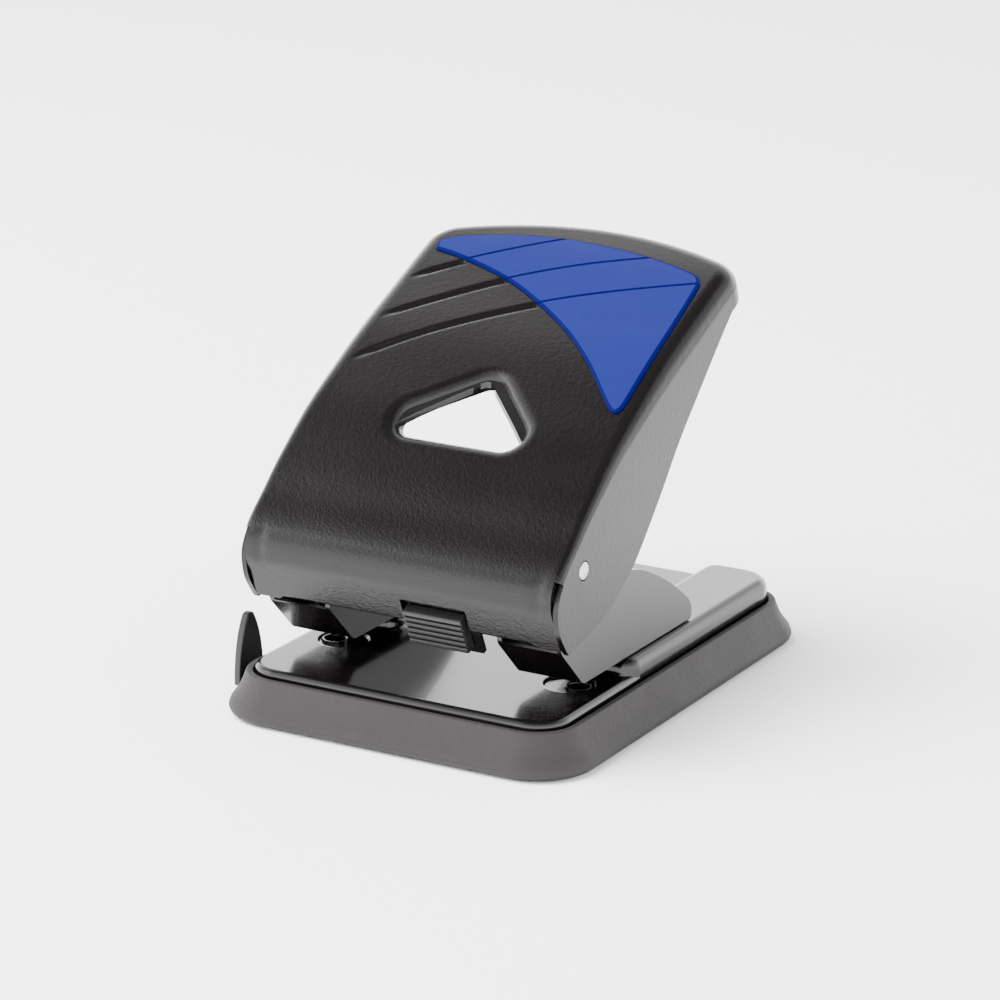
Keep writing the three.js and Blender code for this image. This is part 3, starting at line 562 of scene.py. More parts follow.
def loft(sections: Sequence[tuple[Sequence[Corner], float]], steps: int) -> Mesh:
    """Joins rounded polygons that lie one above another into a closed solid.

    Args:
        sections: each polygon's corners and its height.
        steps: segments in each rounded corner.

    Returns:
        The solid, closed at its first and last polygon.
    """
    bm = bmesh.new()
    rings = []
    for corners, z in sections:
        face = add_face(bm, rounded(corners, steps), z)
        rings.append((face, list(face.edges)))
    bmesh.ops.delete(bm, geom=[face for face, _ in rings[1:-1]], context="FACES_ONLY")
    for (_, low), (_, high) in zip(rings, rings[1:]):
        bmesh.ops.bridge_loops(bm, edges=low + high)
    bmesh.ops.recalc_face_normals(bm, faces=bm.faces)
    return bm


def moved(bm: Mesh, x: float, y: float, z: float = 0.0) -> Mesh:
    """The same mesh, shifted."""
    bmesh.ops.translate(bm, vec=(x, y, z), verts=bm.verts)
    return bm


def turned_to_x(bm: Mesh) -> Mesh:
    """Turns a mesh so that its Z axis lies along X.

    Args:
        bm: the mesh.

    Returns:
        The same mesh.
    """
    bmesh.ops.rotate(bm, cent=(0, 0, 0), matrix=Matrix.Rotation(math.pi / 2, 3, "Y"),
                     verts=bm.verts)
    return bm


def mirrored(bm: Mesh, side: int) -> Mesh:
    """Mirrors a mesh in X for the left side.

    Args:
        bm: the mesh of the right side.
        side: 1 for right or -1 for left.

    Returns:
        The same mesh.
    """
    if side < 0:
        bmesh.ops.scale(bm, vec=(-1, 1, 1), verts=bm.verts)
        bmesh.ops.reverse_faces(bm, faces=bm.faces)
    return bm


class Cut(Enum):
    """What a boolean does."""

    AWAY = "DIFFERENCE"
    JOIN = "UNION"


def boolean(first: Mesh, second: Mesh, cut: Cut) -> Mesh:
    """Cuts or joins two closed meshes.

    Args:
        first: the mesh that is kept.
        second: the tool.
        cut: what is done with it.

    Returns:
        A new mesh; both of the given ones are freed.
    """
    objects = []
    for bm in (first, second):
        mesh = bpy.data.meshes.new("work")
        bm.to_mesh(mesh)
        bm.free()
        piece = bpy.data.objects.new("work", mesh)
        bpy.context.scene.collection.objects.link(piece)
        objects.append(piece)
    base, tool = objects
    modifier = base.modifiers.new("cut", "BOOLEAN")
    modifier.operation = cut.value
    modifier.solver = "EXACT"
    modifier.object = tool
    graph = bpy.context.evaluated_depsgraph_get()
    graph.update()
    result = bmesh.new()
    evaluated = base.evaluated_get(graph)
    result.from_mesh(evaluated.to_mesh())
    evaluated.to_mesh_clear()
    for piece in objects:
        mesh = piece.data
        bpy.data.objects.remove(piece)
        bpy.data.meshes.remove(mesh)
    return result


@dataclass(frozen=True)
class Edges:
    """How a finished piece's edges are treated.

    Attributes:
        smooth: faces that meet at less than this, in degrees, shade as one.
        bevel: width of the small rounding on sharper edges, in millimetres, or 0.
        steps: segments in that rounding.
    """

    smooth: float = 35.0
    bevel: float = 0.25
    steps: int = 2


def finished(name: str, bm: Mesh, body: Body, looks: Sequence[Look],
             nodes: Sequence[str], edges: Edges = Edges(), sheet: float = 0.0) -> bpy.types.Object:
    """Turns a mesh in millimetres into a piece that rides on its body.

    Args:
        name: the piece's name.
        bm: its mesh, which is freed.
        body: the body that it rides on.
        looks: its materials, in the order of the faces' indices.
        nodes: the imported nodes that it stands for.
        edges: the treatment of its edges.
        sheet: the thickness that an open sheet is given inwards, in millimetres.

    Returns:
        The piece.
    """
    bmesh.ops.scale(bm, vec=(MM, MM, MM), verts=bm.verts)
    mesh = bpy.data.meshes.new(name)
    bm.to_mesh(mesh)
    bm.free()
    for look in looks:
        mesh.materials.append(look)
    mesh.shade_smooth()
    mesh.set_sharp_from_angle(angle=math.radians(edges.smooth))
    piece = bpy.data.objects.new(name, mesh)
    bpy.context.scene.collection.objects.link(piece)
    if sheet > 0:
        wall = piece.modifiers.new("sheet", "SOLIDIFY")
        wall.thickness = sheet * MM
        wall.offset = -1
        wall.use_even_offset = True
    if edges.bevel > 0:
        bevel = piece.modifiers.new("soft_edges", "BEVEL")
        bevel.width = edges.bevel * MM
        bevel.segments = edges.steps
        bevel.limit_method = "ANGLE"
        bevel.angle_limit = math.radians(edges.smooth)
        bevel.use_clamp_overlap = True
        bevel.harden_normals = False
    weighted = piece.modifiers.new("weighted", "WEIGHTED_NORMAL")
    weighted.keep_sharp = True
    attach(piece, body.value)
    if nodes:
        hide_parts(*nodes)
    LOG.info("%s: %d faces", name, len(mesh.polygons))
    return piece


def curve_through(points: Sequence[Point], steps: int) -> list[Point]:
    """A smooth curve through points (uniform Catmull-Rom).

    Args:
        points: the points that it passes.
        steps: segments between two points.

    Returns:
        The curve's own points, both ends included.
    """
    found = []
    last = len(points) - 1
    for i in range(last):
        span = [points[j] for j in (max(i - 1, 0), i, i + 1, min(i + 2, last))]
        for k in range(steps):
            t = k / steps
            found.append(tuple(
                0.5 * (2 * b + (c - a) * t + (2 * a - 5 * b + 4 * c - d) * t * t
                       + (3 * b - a - 3 * c + d) * t ** 3)
                for a, b, c, d in zip(*span)
            ))
    found.append(tuple(points[last]))
    return found


def bow(start: Point, control: Point, end: Point, steps: int = 6) -> list[Corner]:
    """Sharp corners along a quadratic curve.

    Args:
        start: where it starts.
        control: where its two end tangents meet.
        end: where it ends.
        steps: segments along it.

    Returns:
        The corners, without the one at the start.
    """
    found = []
    for k in range(1, steps + 1):
        t = k / steps
        y, z = ((1 - t) ** 2 * a + 2 * t * (1 - t) * b + t * t * c
                for a, b, c in zip(start, control, end))
        found.append((y, z, 0.0))
    return found


def smooth_rise(value: float) -> float:
    """Rises from 0 to 1 as the value goes from 0 to 1, level at both ends."""
    value = min(max(value, 0.0), 1.0)
    return value * value * (3 - 2 * value)


def to_segment(here: Vector, start: Vector, end: Vector) -> float:
    """How far a flat place is from a segment.

    Args:
        here: the place.
        start: the segment's start.
        end: the segment's end.

    Returns:
        The distance.
    """
    side = end - start
    offset = here - start
    share = min(max(offset.dot(side) / side.length_squared, 0.0), 1.0)
    return (offset - side * share).length


def across(edge: Edge) -> bool:
    """True for an edge that runs along X."""
    a, b = (vert.co for vert in edge.verts)
    return abs(a.x - b.x) > FLAT


def dress(node: str, look: Look) -> None:
    """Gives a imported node, which stays as it is, a finish.

    Args:
        node: the node's name.
        look: its material.
    """
    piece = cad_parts[node]
    piece.data.materials.clear()
    piece.data.materials.append(look)
    LOG.info("%s: dressed", node)


# ---------------------------------------------------------------- chip tray

@dataclass
class ChipTray:
    """Plastic tray: a rolled skirt, a rim round the plate and a slot for the paper guide."""

    look: Look
    corner: float = 18.0
    ledge_inset: float = 7.2
    ledge_z: float = 9.9
    wall: float = 2.5
    floor: float = 1.8
    floor_edge: float = 1.0
    slot_gap: float = 0.3
    slot_height: float = 2.5
    slot_round: float = 0.6
    skirt: tuple[Point, ...] = (
        (3.2, 0), (2, 0.25), (1, 0.8), (0.35, 1.5), (0, 2.4), (0.1, 3.2), (0.5, 4.1), (1.1, 5),
        (1.9, 6), (2.9, 7.4), (3.8, 9.2), (4.6, 11.2), (4.95, 12.3), (5.2, 12.75), (5.6, 12.9),
        (6.6, 12.88), (7, 12.7), (7.2, 12.3),
    )

    def _shell(self) -> Mesh:
        """The skirt, the rim, the ledge under the plate and the floor, in one loft."""
        half = Box.of("chip_tray").size / 2
        inner = self.ledge_inset + self.wall
        levels = [
            *self.skirt, (self.ledge_inset, self.ledge_z), (inner, self.ledge_z - 0.05),
            (inner, self.floor + self.floor_edge), (inner + self.floor_edge, self.floor),
        ]
        return loft([
            (centred(half.x - inset, half.y - inset, self.corner - inset), z)
            for inset, z in levels
        ], 12)

    def _slot(self) -> Mesh:
        """The cutter for the paper guide's slot, through the left wall."""
        box = Box.of("chip_tray")
        rail = Box.of("guide_rail")
        gap = self.slot_gap
        inside = -box.size.x / 2 + self.ledge_inset + self.wall + 3
        slot = block(
            Vector((box.low.x - 1, rail.low.y - gap, rail.low.z - gap)),
            Vector((inside, rail.high.y + gap, rail.low.z + self.slot_height + gap)),
        )
        round_edges(slot, across, self.slot_round, 3)
        return slot

    def build(self) -> None:
        """Builds the tray and puts it on its body."""
        tray = boolean(self._shell(), self._slot(), Cut.AWAY)
        finished("tray", tray, Body.TRAY, [self.look], ["chip_tray"],
                 Edges(smooth=40, bevel=0.2))


@dataclass
class PaperGuide:
    """Sliding guide: a rail in the tray and an upright fin that the sheet's edge meets."""

    look: Look
    shoulder: float = 0.62
    tip_half: float = 1.6
    tip_drop: float = 0.5

    def build(self) -> None:
        """Builds the fin, and dresses the rail."""
        box = Box.of("guide_fin")
        middle = box.centre.y
        shoulder = box.low.z + self.shoulder * box.size.z
        rear = (box.high.y, box.low.z)
        front = (box.low.y, box.low.z)
        tip_rear = (middle + self.tip_half, box.high.z - self.tip_drop)
        tip_front = (middle - self.tip_half, box.high.z - self.tip_drop)
        corners = [(*front, 0.0), (*rear, 0.0)]
        corners += bow(rear, (box.high.y, shoulder), tip_rear)
        corners += bow(tip_rear, (middle, box.high.z + self.tip_drop), tip_front, 5)
        corners += bow(tip_front, (box.low.y, shoulder), front)[:-1]
        fin = side_prism(corners, box.low.x, box.high.x)
        finished("guide_fin_blade", fin, Body.GUIDE, [self.look], ["guide_fin"],
                 Edges(smooth=50, bevel=0.45, steps=3))
        dress("guide_rail", self.look)


# ---------------------------------------------------------------- base plate

@dataclass
class BasePlate:
    """Pressed plate: a paper table and two raised pads with flared feet."""

    look: Look
    table_z: float = 15.0
    corner: float = 10.3
    roll: float = 1.8
    pad_front: float = -23.3
    pad_inner: float = 27.0
    pad_corner: float = 5.0
    pad_roll: float = 3.0
    pad_flare: tuple[Point, ...] = (
        (-2.2, -0.9), (-1.5, -0.55), (-0.8, 0.0), (-0.35, 0.55), (-0.1, 1.1),
    )
    pad_foot: float = 3.0
    sheet: float = 1.5
    recess: float = 14.8
    recess_depth: float = 1.0
    recess_shift: float = 2.9
    die_hole: float = 4.1

    def _table(self, inset: float) -> Mesh:
        """The table's block, rolled at its upper edge.

        Args:
            inset: how far its faces lie inside the plate, in millimetres.

        Returns:
            The block.
        """
        box = Box.of("base_plate")
        half = box.size / 2
        levels = [(inset, box.low.z - inset)]
        for angle in range(0, 91, 15):
            turn = math.radians(angle)
            inwards = inset + self.roll * (1 - math.cos(turn))
            levels.append((inwards, self.table_z - inset - self.roll * (1 - math.sin(turn))))
        return loft([
            (centred(half.x - inwards, half.y - inwards, self.corner - inwards), z)
            for inwards, z in levels
        ], 10)

    def _pad(self, side: int, inset: float) -> Mesh:
        """One raised pad: a flared foot, a steep wall and a rolled upper edge.

        Args:
            side: 1 for right or -1 for left.
            inset: how far its faces lie inside the plate, in millimetres.

        Returns:
            The pad.
        """
        box = Box.of("base_plate")
        top = box.high.z - inset
        outer = box.high.x - inset
        rear = box.high.y - inset
        roll = self.pad_roll
        wall = [(-self.pad_foot, box.low.z - inset)]
        wall += [(inwards, self.table_z - inset + z) for inwards, z in self.pad_flare]
        for angle in (10, 25, 40, 55, 70, 90):
            turn = math.radians(angle)
            wall.append((roll * (1 - math.cos(turn)), top - roll * (1 - math.sin(turn))))
        levels = []
        for inwards, z in wall:
            kept = max(inwards, 0)
            small = max(self.pad_corner - inwards, 0.5)
            big = self.corner - inset - kept
            corners = rectangle(
                self.pad_inner + inset + inwards, outer - kept,
                self.pad_front + inset + inwards, rear - kept, [small, small, big, small],
            )
            levels.append((corners, z))
        return mirrored(loft(levels, OUTLINE_STEPS), side)

    def _body(self, inset: float) -> Mesh:
        """The table joined to its two pads.

        Args:
            inset: how far its faces lie inside the plate, in millimetres.

        Returns:
            The joined solid.
        """
        body = self._table(inset)
        for side in SIDES.values():
            body = boolean(body, self._pad(side, inset), Cut.JOIN)
        return body

    def _dish(self) -> Mesh:
        """The cutter for a shallow round recess with a soft edge."""
        depth = self.recess_depth
        radius = self.recess / 2
        top = self.table_z
        return lathe([
            (0, top - depth), (radius - 0.9, top - depth), (radius - 0.4, top - 0.85 * depth),
            (radius - 0.1, top - 0.5 * depth), (radius + 0.2, top - 0.15 * depth),
            (radius + 0.8, top + 0.02), (radius + 1.5, top + 1), (0, top + 1),
        ], 64)

    def build(self) -> None:
        """Builds the plate with its recesses and die holes."""
        plate = boolean(self._body(0.0), self._body(self.sheet), Cut.AWAY)
        for name, side in SIDES.items():
            die = Box.of(f"die_{name}").centre
            dish = moved(self._dish(), side * (die.x * side - self.recess_shift), die.y)
            plate = boolean(plate, dish, Cut.AWAY)
            plate = boolean(plate, moved(plug(self.die_hole, 5, 18), die.x, die.y), Cut.AWAY)
        finished("base_plate_sheet", plate, Body.BASE, [self.look], ["base_plate"],
                 Edges(smooth=32, bevel=0.15))


# ---------------------------------------------------------------- brackets

@dataclass
class Bracket:
    """Folded bracket: a web on the pad, two ears that carry the axle, and a sloped flange."""

    side: int
    name: str
    look: Look
    sheet: float = 1.5
    bend: float = 2.6
    front: float = -46.0
    rear: float = 17.5
    rise: float = 12.3
    boss: float = 7.5
    bore: float = 2.9
    guide_seat: float = 4.0
    inner_bend: float = 1.2
    beyond: float = 60.0

    def _ear(self) -> list[Corner]:
        """The ear's outline in the YZ plane."""
        box = Box.of(f"bracket_{self.name}")
        axle = Box.of("pivot_axle").centre
        low = box.low.z
        rear = self.rear
        boss_steps = 16
        heel, hump, crown = (rear - 1, low + 6.5), (-13.5, 43.6), (-36, 46.6)
        ear = [(self.front, low, 3.0), (rear, low, 0.0)]
        ear += bow((rear, low), (rear + 2.4, low + 2), heel)
        ear += bow(heel, (2, 37.6), hump, 10)
        ear += bow(hump, (-22, 46.6), crown, 8)
        ear += bow(crown, (-43.5, 47), (-45.2, axle.z), 8)
        for k in range(1, boss_steps + 1):
            turn = math.pi * k / boss_steps
            ear.append((
                axle.y + self.boss * math.cos(turn), axle.z + self.boss * math.sin(turn), 0.0,
            ))
        ear.append((self.front - self.rise, low + self.rise, 3.0))
        return ear

    def _blank(self) -> Mesh:
        """The ear's outline over the full width, with its folded edges rounded."""
        box = Box.of(f"bracket_{self.name}")
        low_x, high_x = sorted((abs(box.low.x), abs(box.high.x)))
        blank = side_prism(self._ear(), low_x, high_x, 5)
        low = box.low.z
        limit = low + self.rise + 0.5

        def folded(edge: Edge) -> bool:
            """True for the edges along the web's two sides and the flange's."""
            a, b = (vert.co for vert in edge.verts)
            under = max(a.z, b.z) < limit and max(a.y, b.y) <= self.rear + FLAT
            return not across(edge) and under

        round_edges(blank, folded, self.bend, 6)
        return blank

    def _inside(self) -> Mesh:
        """The cutter for the room between the two ears, over the web and the flange."""
        box = Box.of(f"bracket_{self.name}")
        low_x, high_x = sorted((abs(box.low.x), abs(box.high.x)))
        low = box.low.z + self.sheet
        slope = self.front + self.sheet * (math.sqrt(2) - 1)
        top = box.low.z + self.rise
        far = 1.5 * self.beyond
        inside = side_prism([
            (slope, low, 2.0), (self.beyond, low, 0.0), (self.beyond, far, 0.0),
            (-far, far, 0.0), (-far, top, 0.0), (slope - (top - low), top, 0.0),
        ], low_x + self.sheet, high_x - self.sheet, 5)

        def folded(edge: Edge) -> bool:
            """True for the edges below the flange's top."""
            return not across(edge) and max(vert.co.z for vert in edge.verts) < top - FLAT

        round_edges(inside, folded, self.inner_bend, 4)
        return inside

    def _rivet(self, row: int) -> None:
        """Turns one of the rivets that hold the web to the pad.

        Args:
            row: 1 for the front one or 2 for the rear one.
        """
        node = f"bracket_rivet_{self.name}_{row}"
        rivet = Box.of(node)
        z0, z1 = rivet.low.z, rivet.high.z
        head = lathe([
            (0, z0), (3.2, z0), (4, z0 + 1.4), (2, z0 + 1.5), (2, z1 - 1.6), (4, z1 - 1.6),
            (3.9, z1 - 1.1), (3.3, z1 - 0.5), (2.2, z1 - 0.12), (1.0, z1), (0, z1),
        ])
        finished(f"rivet_{self.name}_{row}", moved(head, rivet.centre.x, rivet.centre.y),
                 Body.BASE, [self.look], [node], Edges(bevel=0.12))

    def build(self) -> None:
        """Builds the bracket with its bores, and its rivets."""
        axle = Box.of("pivot_axle").centre
        pin = Box.of(f"pin_guide_{self.name}").centre
        body = boolean(self._blank(), self._inside(), Cut.AWAY)
        bore = turned_to_x(plug(self.bore, 0, self.beyond, 40))
        body = boolean(body, moved(bore, 0, axle.y, axle.z), Cut.AWAY)
        seat = plug(self.guide_seat, 15, 25, 40)
        body = boolean(body, moved(seat, abs(pin.x), pin.y), Cut.AWAY)
        finished(f"bracket_{self.name}_folded", mirrored(body, self.side), Body.BASE,
                 [self.look], [f"bracket_{self.name}"], Edges(smooth=30, bevel=0.3, steps=3))
        for row in (1, 2):
            self._rivet(row)


# ---------------------------------------------------------------- punching parts

@dataclass
class PunchSet:
    """One side's die, guide, pin, clip and spring."""

    side: int
    name: str
    steel: Look
    spring_steel: Look
    paint: Look
    bore: float = 3.05
    wire: float = 0.55
    turns: float = 6.0
    turn_steps: int = 28
    closed_pitch: float = 1.15

    def _turned(self, node: str, profile: Sequence[Point], body: Body, bevel: float = 0.15,
                slot: Slot = Slot.STEEL) -> None:
        """Turns one piece about the pin's axis.

        Args:
            node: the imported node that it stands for.
            profile: its profile of (radius, z) pairs.
            body: the body that it rides on.
            bevel: width of its small roundings.
            slot: its material slot, steel or paint.
        """
        centre = Box.of(node).centre
        piece = moved(lathe(profile, 64), centre.x, centre.y)
        look = self.steel if slot is Slot.STEEL else self.paint
        finished(f"{node}_turned", piece, body, [look], [node], Edges(bevel=bevel))

    def _spring(self) -> None:
        """Winds the spring, with its end turns closed, and gives it its own copy of its mesh."""
        node = f"return_spring_{self.name}"
        box = Box.of(node)
        radius = box.size.x / 2 - self.wire
        bm = bmesh.new()
        bmesh.ops.create_circle(bm, segments=12, radius=self.wire)
        bmesh.ops.rotate(bm, verts=bm.verts, matrix=Matrix.Rotation(math.pi / 2, 3, "X"))
        bmesh.ops.translate(bm, vec=(radius, 0, box.low.z + self.wire), verts=bm.verts)
        rise = box.size.z - 2 * self.wire
        closed = self.closed_pitch * 2 * self.wire
        ring = list(bm.edges) + list(bm.verts)
        for share, turns in ((closed, 1), (rise - 2 * closed, self.turns - 2), (closed, 1)):
            count = int(self.turn_steps * turns)
            made = bmesh.ops.spin(
                bm, geom=ring, cent=(0, 0, 0), axis=(0, 0, 1), dvec=(0, 0, share / count),
                angle=2 * math.pi * turns, steps=count, use_merge=False, use_duplicate=False,
            )
            ring = made["geom_last"]
        bmesh.ops.remove_doubles(bm, verts=bm.verts, dist=CLOSE)
        bmesh.ops.holes_fill(bm, edges=bm.edges)
        bmesh.ops.recalc_face_normals(bm, faces=bm.faces)
        spring = finished(
            f"spring_{self.name}", moved(bm, box.centre.x, box.centre.y), Body.BASE,
            [self.spring_steel], [node], Edges(smooth=60, bevel=0),
        )
        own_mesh(spring)

    def _die_and_guide(self) -> None:
        """Turns the two pieces that stay on the base."""
        die = Box.of(f"die_{self.name}")
        z0, z1 = die.low.z, die.high.z
        self._turned(f"die_{self.name}", [
            (self.bore, z0), (5.5, z0), (5.5, z0 + 1.6), (3.8, z0 + 1.6), (3.8, z1),
            (self.bore + 0.3, z1), (self.bore, z1 - 0.3),
        ], Body.BASE, 0.1, Slot.BASE)
        guide = Box.of(f"pin_guide_{self.name}")
        z0, z1 = guide.low.z, guide.high.z
        self._turned(f"pin_guide_{self.name}", [
            (self.bore, z0), (3.7, z0), (3.7, z0 + 1.7), (4.4, z0 + 1.7), (4.4, z1 - 0.6),
            (4.1, z1 - 0.15), (3.6, z1), (self.bore, z1),
        ], Body.BASE)

    def _pin_and_clip(self) -> None:
        """Turns the two pieces that go down with the handle."""
        pin = Box.of(f"punch_pin_{self.name}")
        z0, z1 = pin.low.z, pin.high.z
        body = Body.PIN_LEFT if self.side < 0 else Body.PIN_RIGHT
        self._turned(f"punch_pin_{self.name}", [
            (0, z0 + 0.8), (1.2, z0 + 0.7), (2.75, z0), (2.75, z1 - 8), (2.45, z1 - 7.8),
            (2.45, z1 - 4.4), (2.75, z1 - 4.2), (2.75, z1 - 2), (3.75, z1 - 2),
            (3.75, z1 - 0.9), (3.2, z1 - 0.3), (2.2, z1 - 0.05), (0, z1),
        ], body)
        clip = Box.of(f"pin_clip_{self.name}")
        z0, z1 = clip.low.z, clip.high.z
        self._turned(f"pin_clip_{self.name}", [
            (self.bore, z0), (4.8, z0), (5, z0 + 0.3), (5, z1 - 0.3), (4.8, z1), (self.bore, z1),
        ], body, 0.1)

    def build(self) -> None:
        """Builds the five pieces."""
        self._die_and_guide()
        self._pin_and_clip()
        self._spring()


@dataclass
class Pivot:
    """The axle with its peened ends, and the two washers beside the brackets."""

    steel: Look
    bore: float = 2.9
    washer_radius: float = 5.0

    def build(self) -> None:
        """Builds the axle and the washers."""
        axle = Box.of("pivot_axle")
        x, radius = axle.high.x, axle.size.y / 2
        profile = bar_profile([
            (0, -x), (0.7, -x), (radius - 0.6, -x + 0.05), (radius - 0.15, -x + 0.3),
            (radius, -x + 0.7),
        ])
        bar = moved(turned_to_x(lathe(profile)), 0, axle.centre.y, axle.centre.z)
        finished("axle", bar, Body.BASE, [self.steel], ["pivot_axle"], Edges(bevel=0.1))
        for name in SIDES:
            node = f"axle_washer_{name}"
            box = Box.of(node)
            ring = washer(self.bore, self.washer_radius, box.low.x, box.high.x)
            ring = moved(turned_to_x(ring), 0, box.centre.y, box.centre.z)
            finished(f"{node}_turned", ring, Body.BASE, [self.steel], [node],
                     Edges(bevel=0.15))


# ---------------------------------------------------------------- handle

@dataclass
class Profile:
    """Outer face of the handle seen from the side, from the lip's lower edge to the grip's end.

    A place on the handle is given laid flat: x across, s along the face and a depth under it.
    """

    lip_bottom: Point = (-61.9, 34.3)
    panel: tuple[Point, ...] = (
        (-67.5, 47), (-67.5, 51.2), (-65.6, 55.2), (-62.2, 59), (-57, 63.6), (-51, 69.3),
        (-45.3, 74.2), (-33.6, 83.5), (-20.1, 91.9), (-4.7, 100.6), (13.5, 109.2), (33.2, 118),
        (48, 123.2),
    )
    step: float = 0.25
    softness: float = 1.0
    margin: float = 30.0
    window: int = 12

    def __post_init__(self) -> None:
        """Measures the face at even steps and softens its corners."""
        raw = np.array([self.lip_bottom, *curve_through(self.panel, 24)])
        start = raw[0] + (raw[0] - raw[1]) / np.linalg.norm(raw[0] - raw[1]) * self.margin
        end = raw[-1] + (raw[-1] - raw[-2]) / np.linalg.norm(raw[-1] - raw[-2]) * self.margin
        raw = np.vstack([start, raw, end])
        length = np.concatenate([[0], np.cumsum(np.linalg.norm(np.diff(raw, axis=0), axis=1))])
        even = np.arange(0, length[-1], self.step)
        y, z = (np.interp(even, length, raw[:, axis]) for axis in (0, 1))
        reach = np.arange(-self.window, self.window + 1) * self.step
        weight = np.exp(-0.5 * (reach / self.softness) ** 2)
        weight /= weight.sum()
        inner = slice(self.window, -self.window)
        self.s = even[inner] - self.margin
        self.y = np.convolve(y, weight, "same")[inner]
        self.z = np.convolve(z, weight, "same")[inner]
        self.ty = np.gradient(self.y, self.s)
        self.tz = np.gradient(self.z, self.s)
        self.crest = int(np.argmin(self.y))

    def place(self, x: float, s: float, depth: float) -> Vector:
        """Lays a flat place on the handle.

        Args:
            x: its place across.
            s: its place along the face.
            depth: its depth under the face.

        Returns:
            Its place in space.
        """
        y, z, ty, tz = (float(np.interp(s, self.s, row))
                        for row in (self.y, self.z, self.ty, self.tz))
        return Vector((x, y + depth * tz, z - depth * ty))

    def along(self, y: float) -> float:
        """The s of the panel at a y."""
        return float(np.interp(y, self.y[self.crest:], self.s[self.crest:]))

    def height(self, z: float) -> float:
        """The s of the face at a height."""
        return float(np.interp(z, self.z, self.s))


@dataclass
class Opening:
    """The rounded triangular opening in the panel, laid flat."""

    profile: Profile
    half: float = 14.2
    radius: float = 9.8
    front: float = -40.6
    rear: float = -13.2
    apex_x: float = 1.5
    rim: float = 4.7
    rim_radius: float = 4.72

    def __post_init__(self) -> None:
        """Places the three centres that the outline runs round."""
        low = self.profile.along(self.front) + self.radius
        high = self.profile.along(self.rear) - self.radius
        self.points = [Vector((-self.half, low)), Vector((self.half, low)),
                       Vector((self.apex_x, high))]

    def distance(self, x: float, s: float) -> float:
        """How far a flat place is outside the opening's outline.

        Args:
            x: the place across.
            s: the place along the face.

        Returns:
            The distance, negative inside the outline.
        """
        here = Vector((x, s))
        sides = list(zip(self.points, self.points[1:] + self.points[:1]))
        nearest = min(to_segment(here, *side) for side in sides)
        inside = all(
            (end.x - start.x) * (s - start.y) - (end.y - start.y) * (x - start.x) >= 0
            for start, end in sides
        )
        return (-nearest if inside else nearest) - self.radius

    def slope(self, x: float, s: float) -> Vector:
        """How fast the distance from the outline grows.

        Args:
            x: the place across.
            s: the place along the face.

        Returns:
            The growth across and along the face.
        """
        here = self.distance(x, s)
        return Vector((self.distance(x + FLAT, s) - here,
                       self.distance(x, s + FLAT) - here)) / FLAT

    def sink(self, distance: float) -> float:
        """How deep the turned-in rim is at a distance from the outline."""
        reach = min(max(-distance, 0.0), self.rim)
        return self.rim_radius - math.sqrt(self.rim_radius ** 2 - reach ** 2)


@dataclass
class Grooves:
    """Three shallow pressed lines that run up the panel and over the inlay."""

    profile: Profile
    lines: tuple[tuple[Point, ...], ...] = (
        ((-49.2, 11.5), (-32.2, 24.2), (-5.8, 39.5)),
        ((-49.4, -5.2), (-33, 7), (-15.3, 18.8), (4, 28.5), (24.1, 36.1)),
        ((-49.5, -21.4), (-26.4, -4.2), (-0.4, 11.2), (20, 20), (42.9, 27.8)),
    )
    metal_ends: tuple[float, float, float] = (-29.0, -12.0, 3.0)
    half_width: float = 1.5
    depth: float = 0.8

    def flat(self) -> list[list[Vector]]:
        """The lines laid flat, as smooth runs of points."""
        return [
            [Vector((x, self.profile.along(y))) for x, y in curve_through(line, 5)]
            for line in self.lines
        ]

    def on_metal(self) -> list[list[Vector]]:
        """The runs cut off where the inlay covers them."""
        return [
            [point for point in run if point.x < end]
            for run, end in zip(self.flat(), self.metal_ends)
        ]

    def sink(self, runs: Sequence[Sequence[Vector]], x: float, s: float) -> float:
        """How deep the grooves are at a place.

        Args:
            runs: the grooves' flat runs of points.
            x: the place across.
            s: the place along the face.

        Returns:
            The depth, 0 away from the grooves.
        """
        here = Vector((x, s))
        nearest = self.half_width
        for run in runs:
            for a, b in zip(run, run[1:]):
                nearest = min(nearest, to_segment(here, a, b))
        return self.depth * 0.5 * (1 + math.cos(math.pi * nearest / self.half_width))


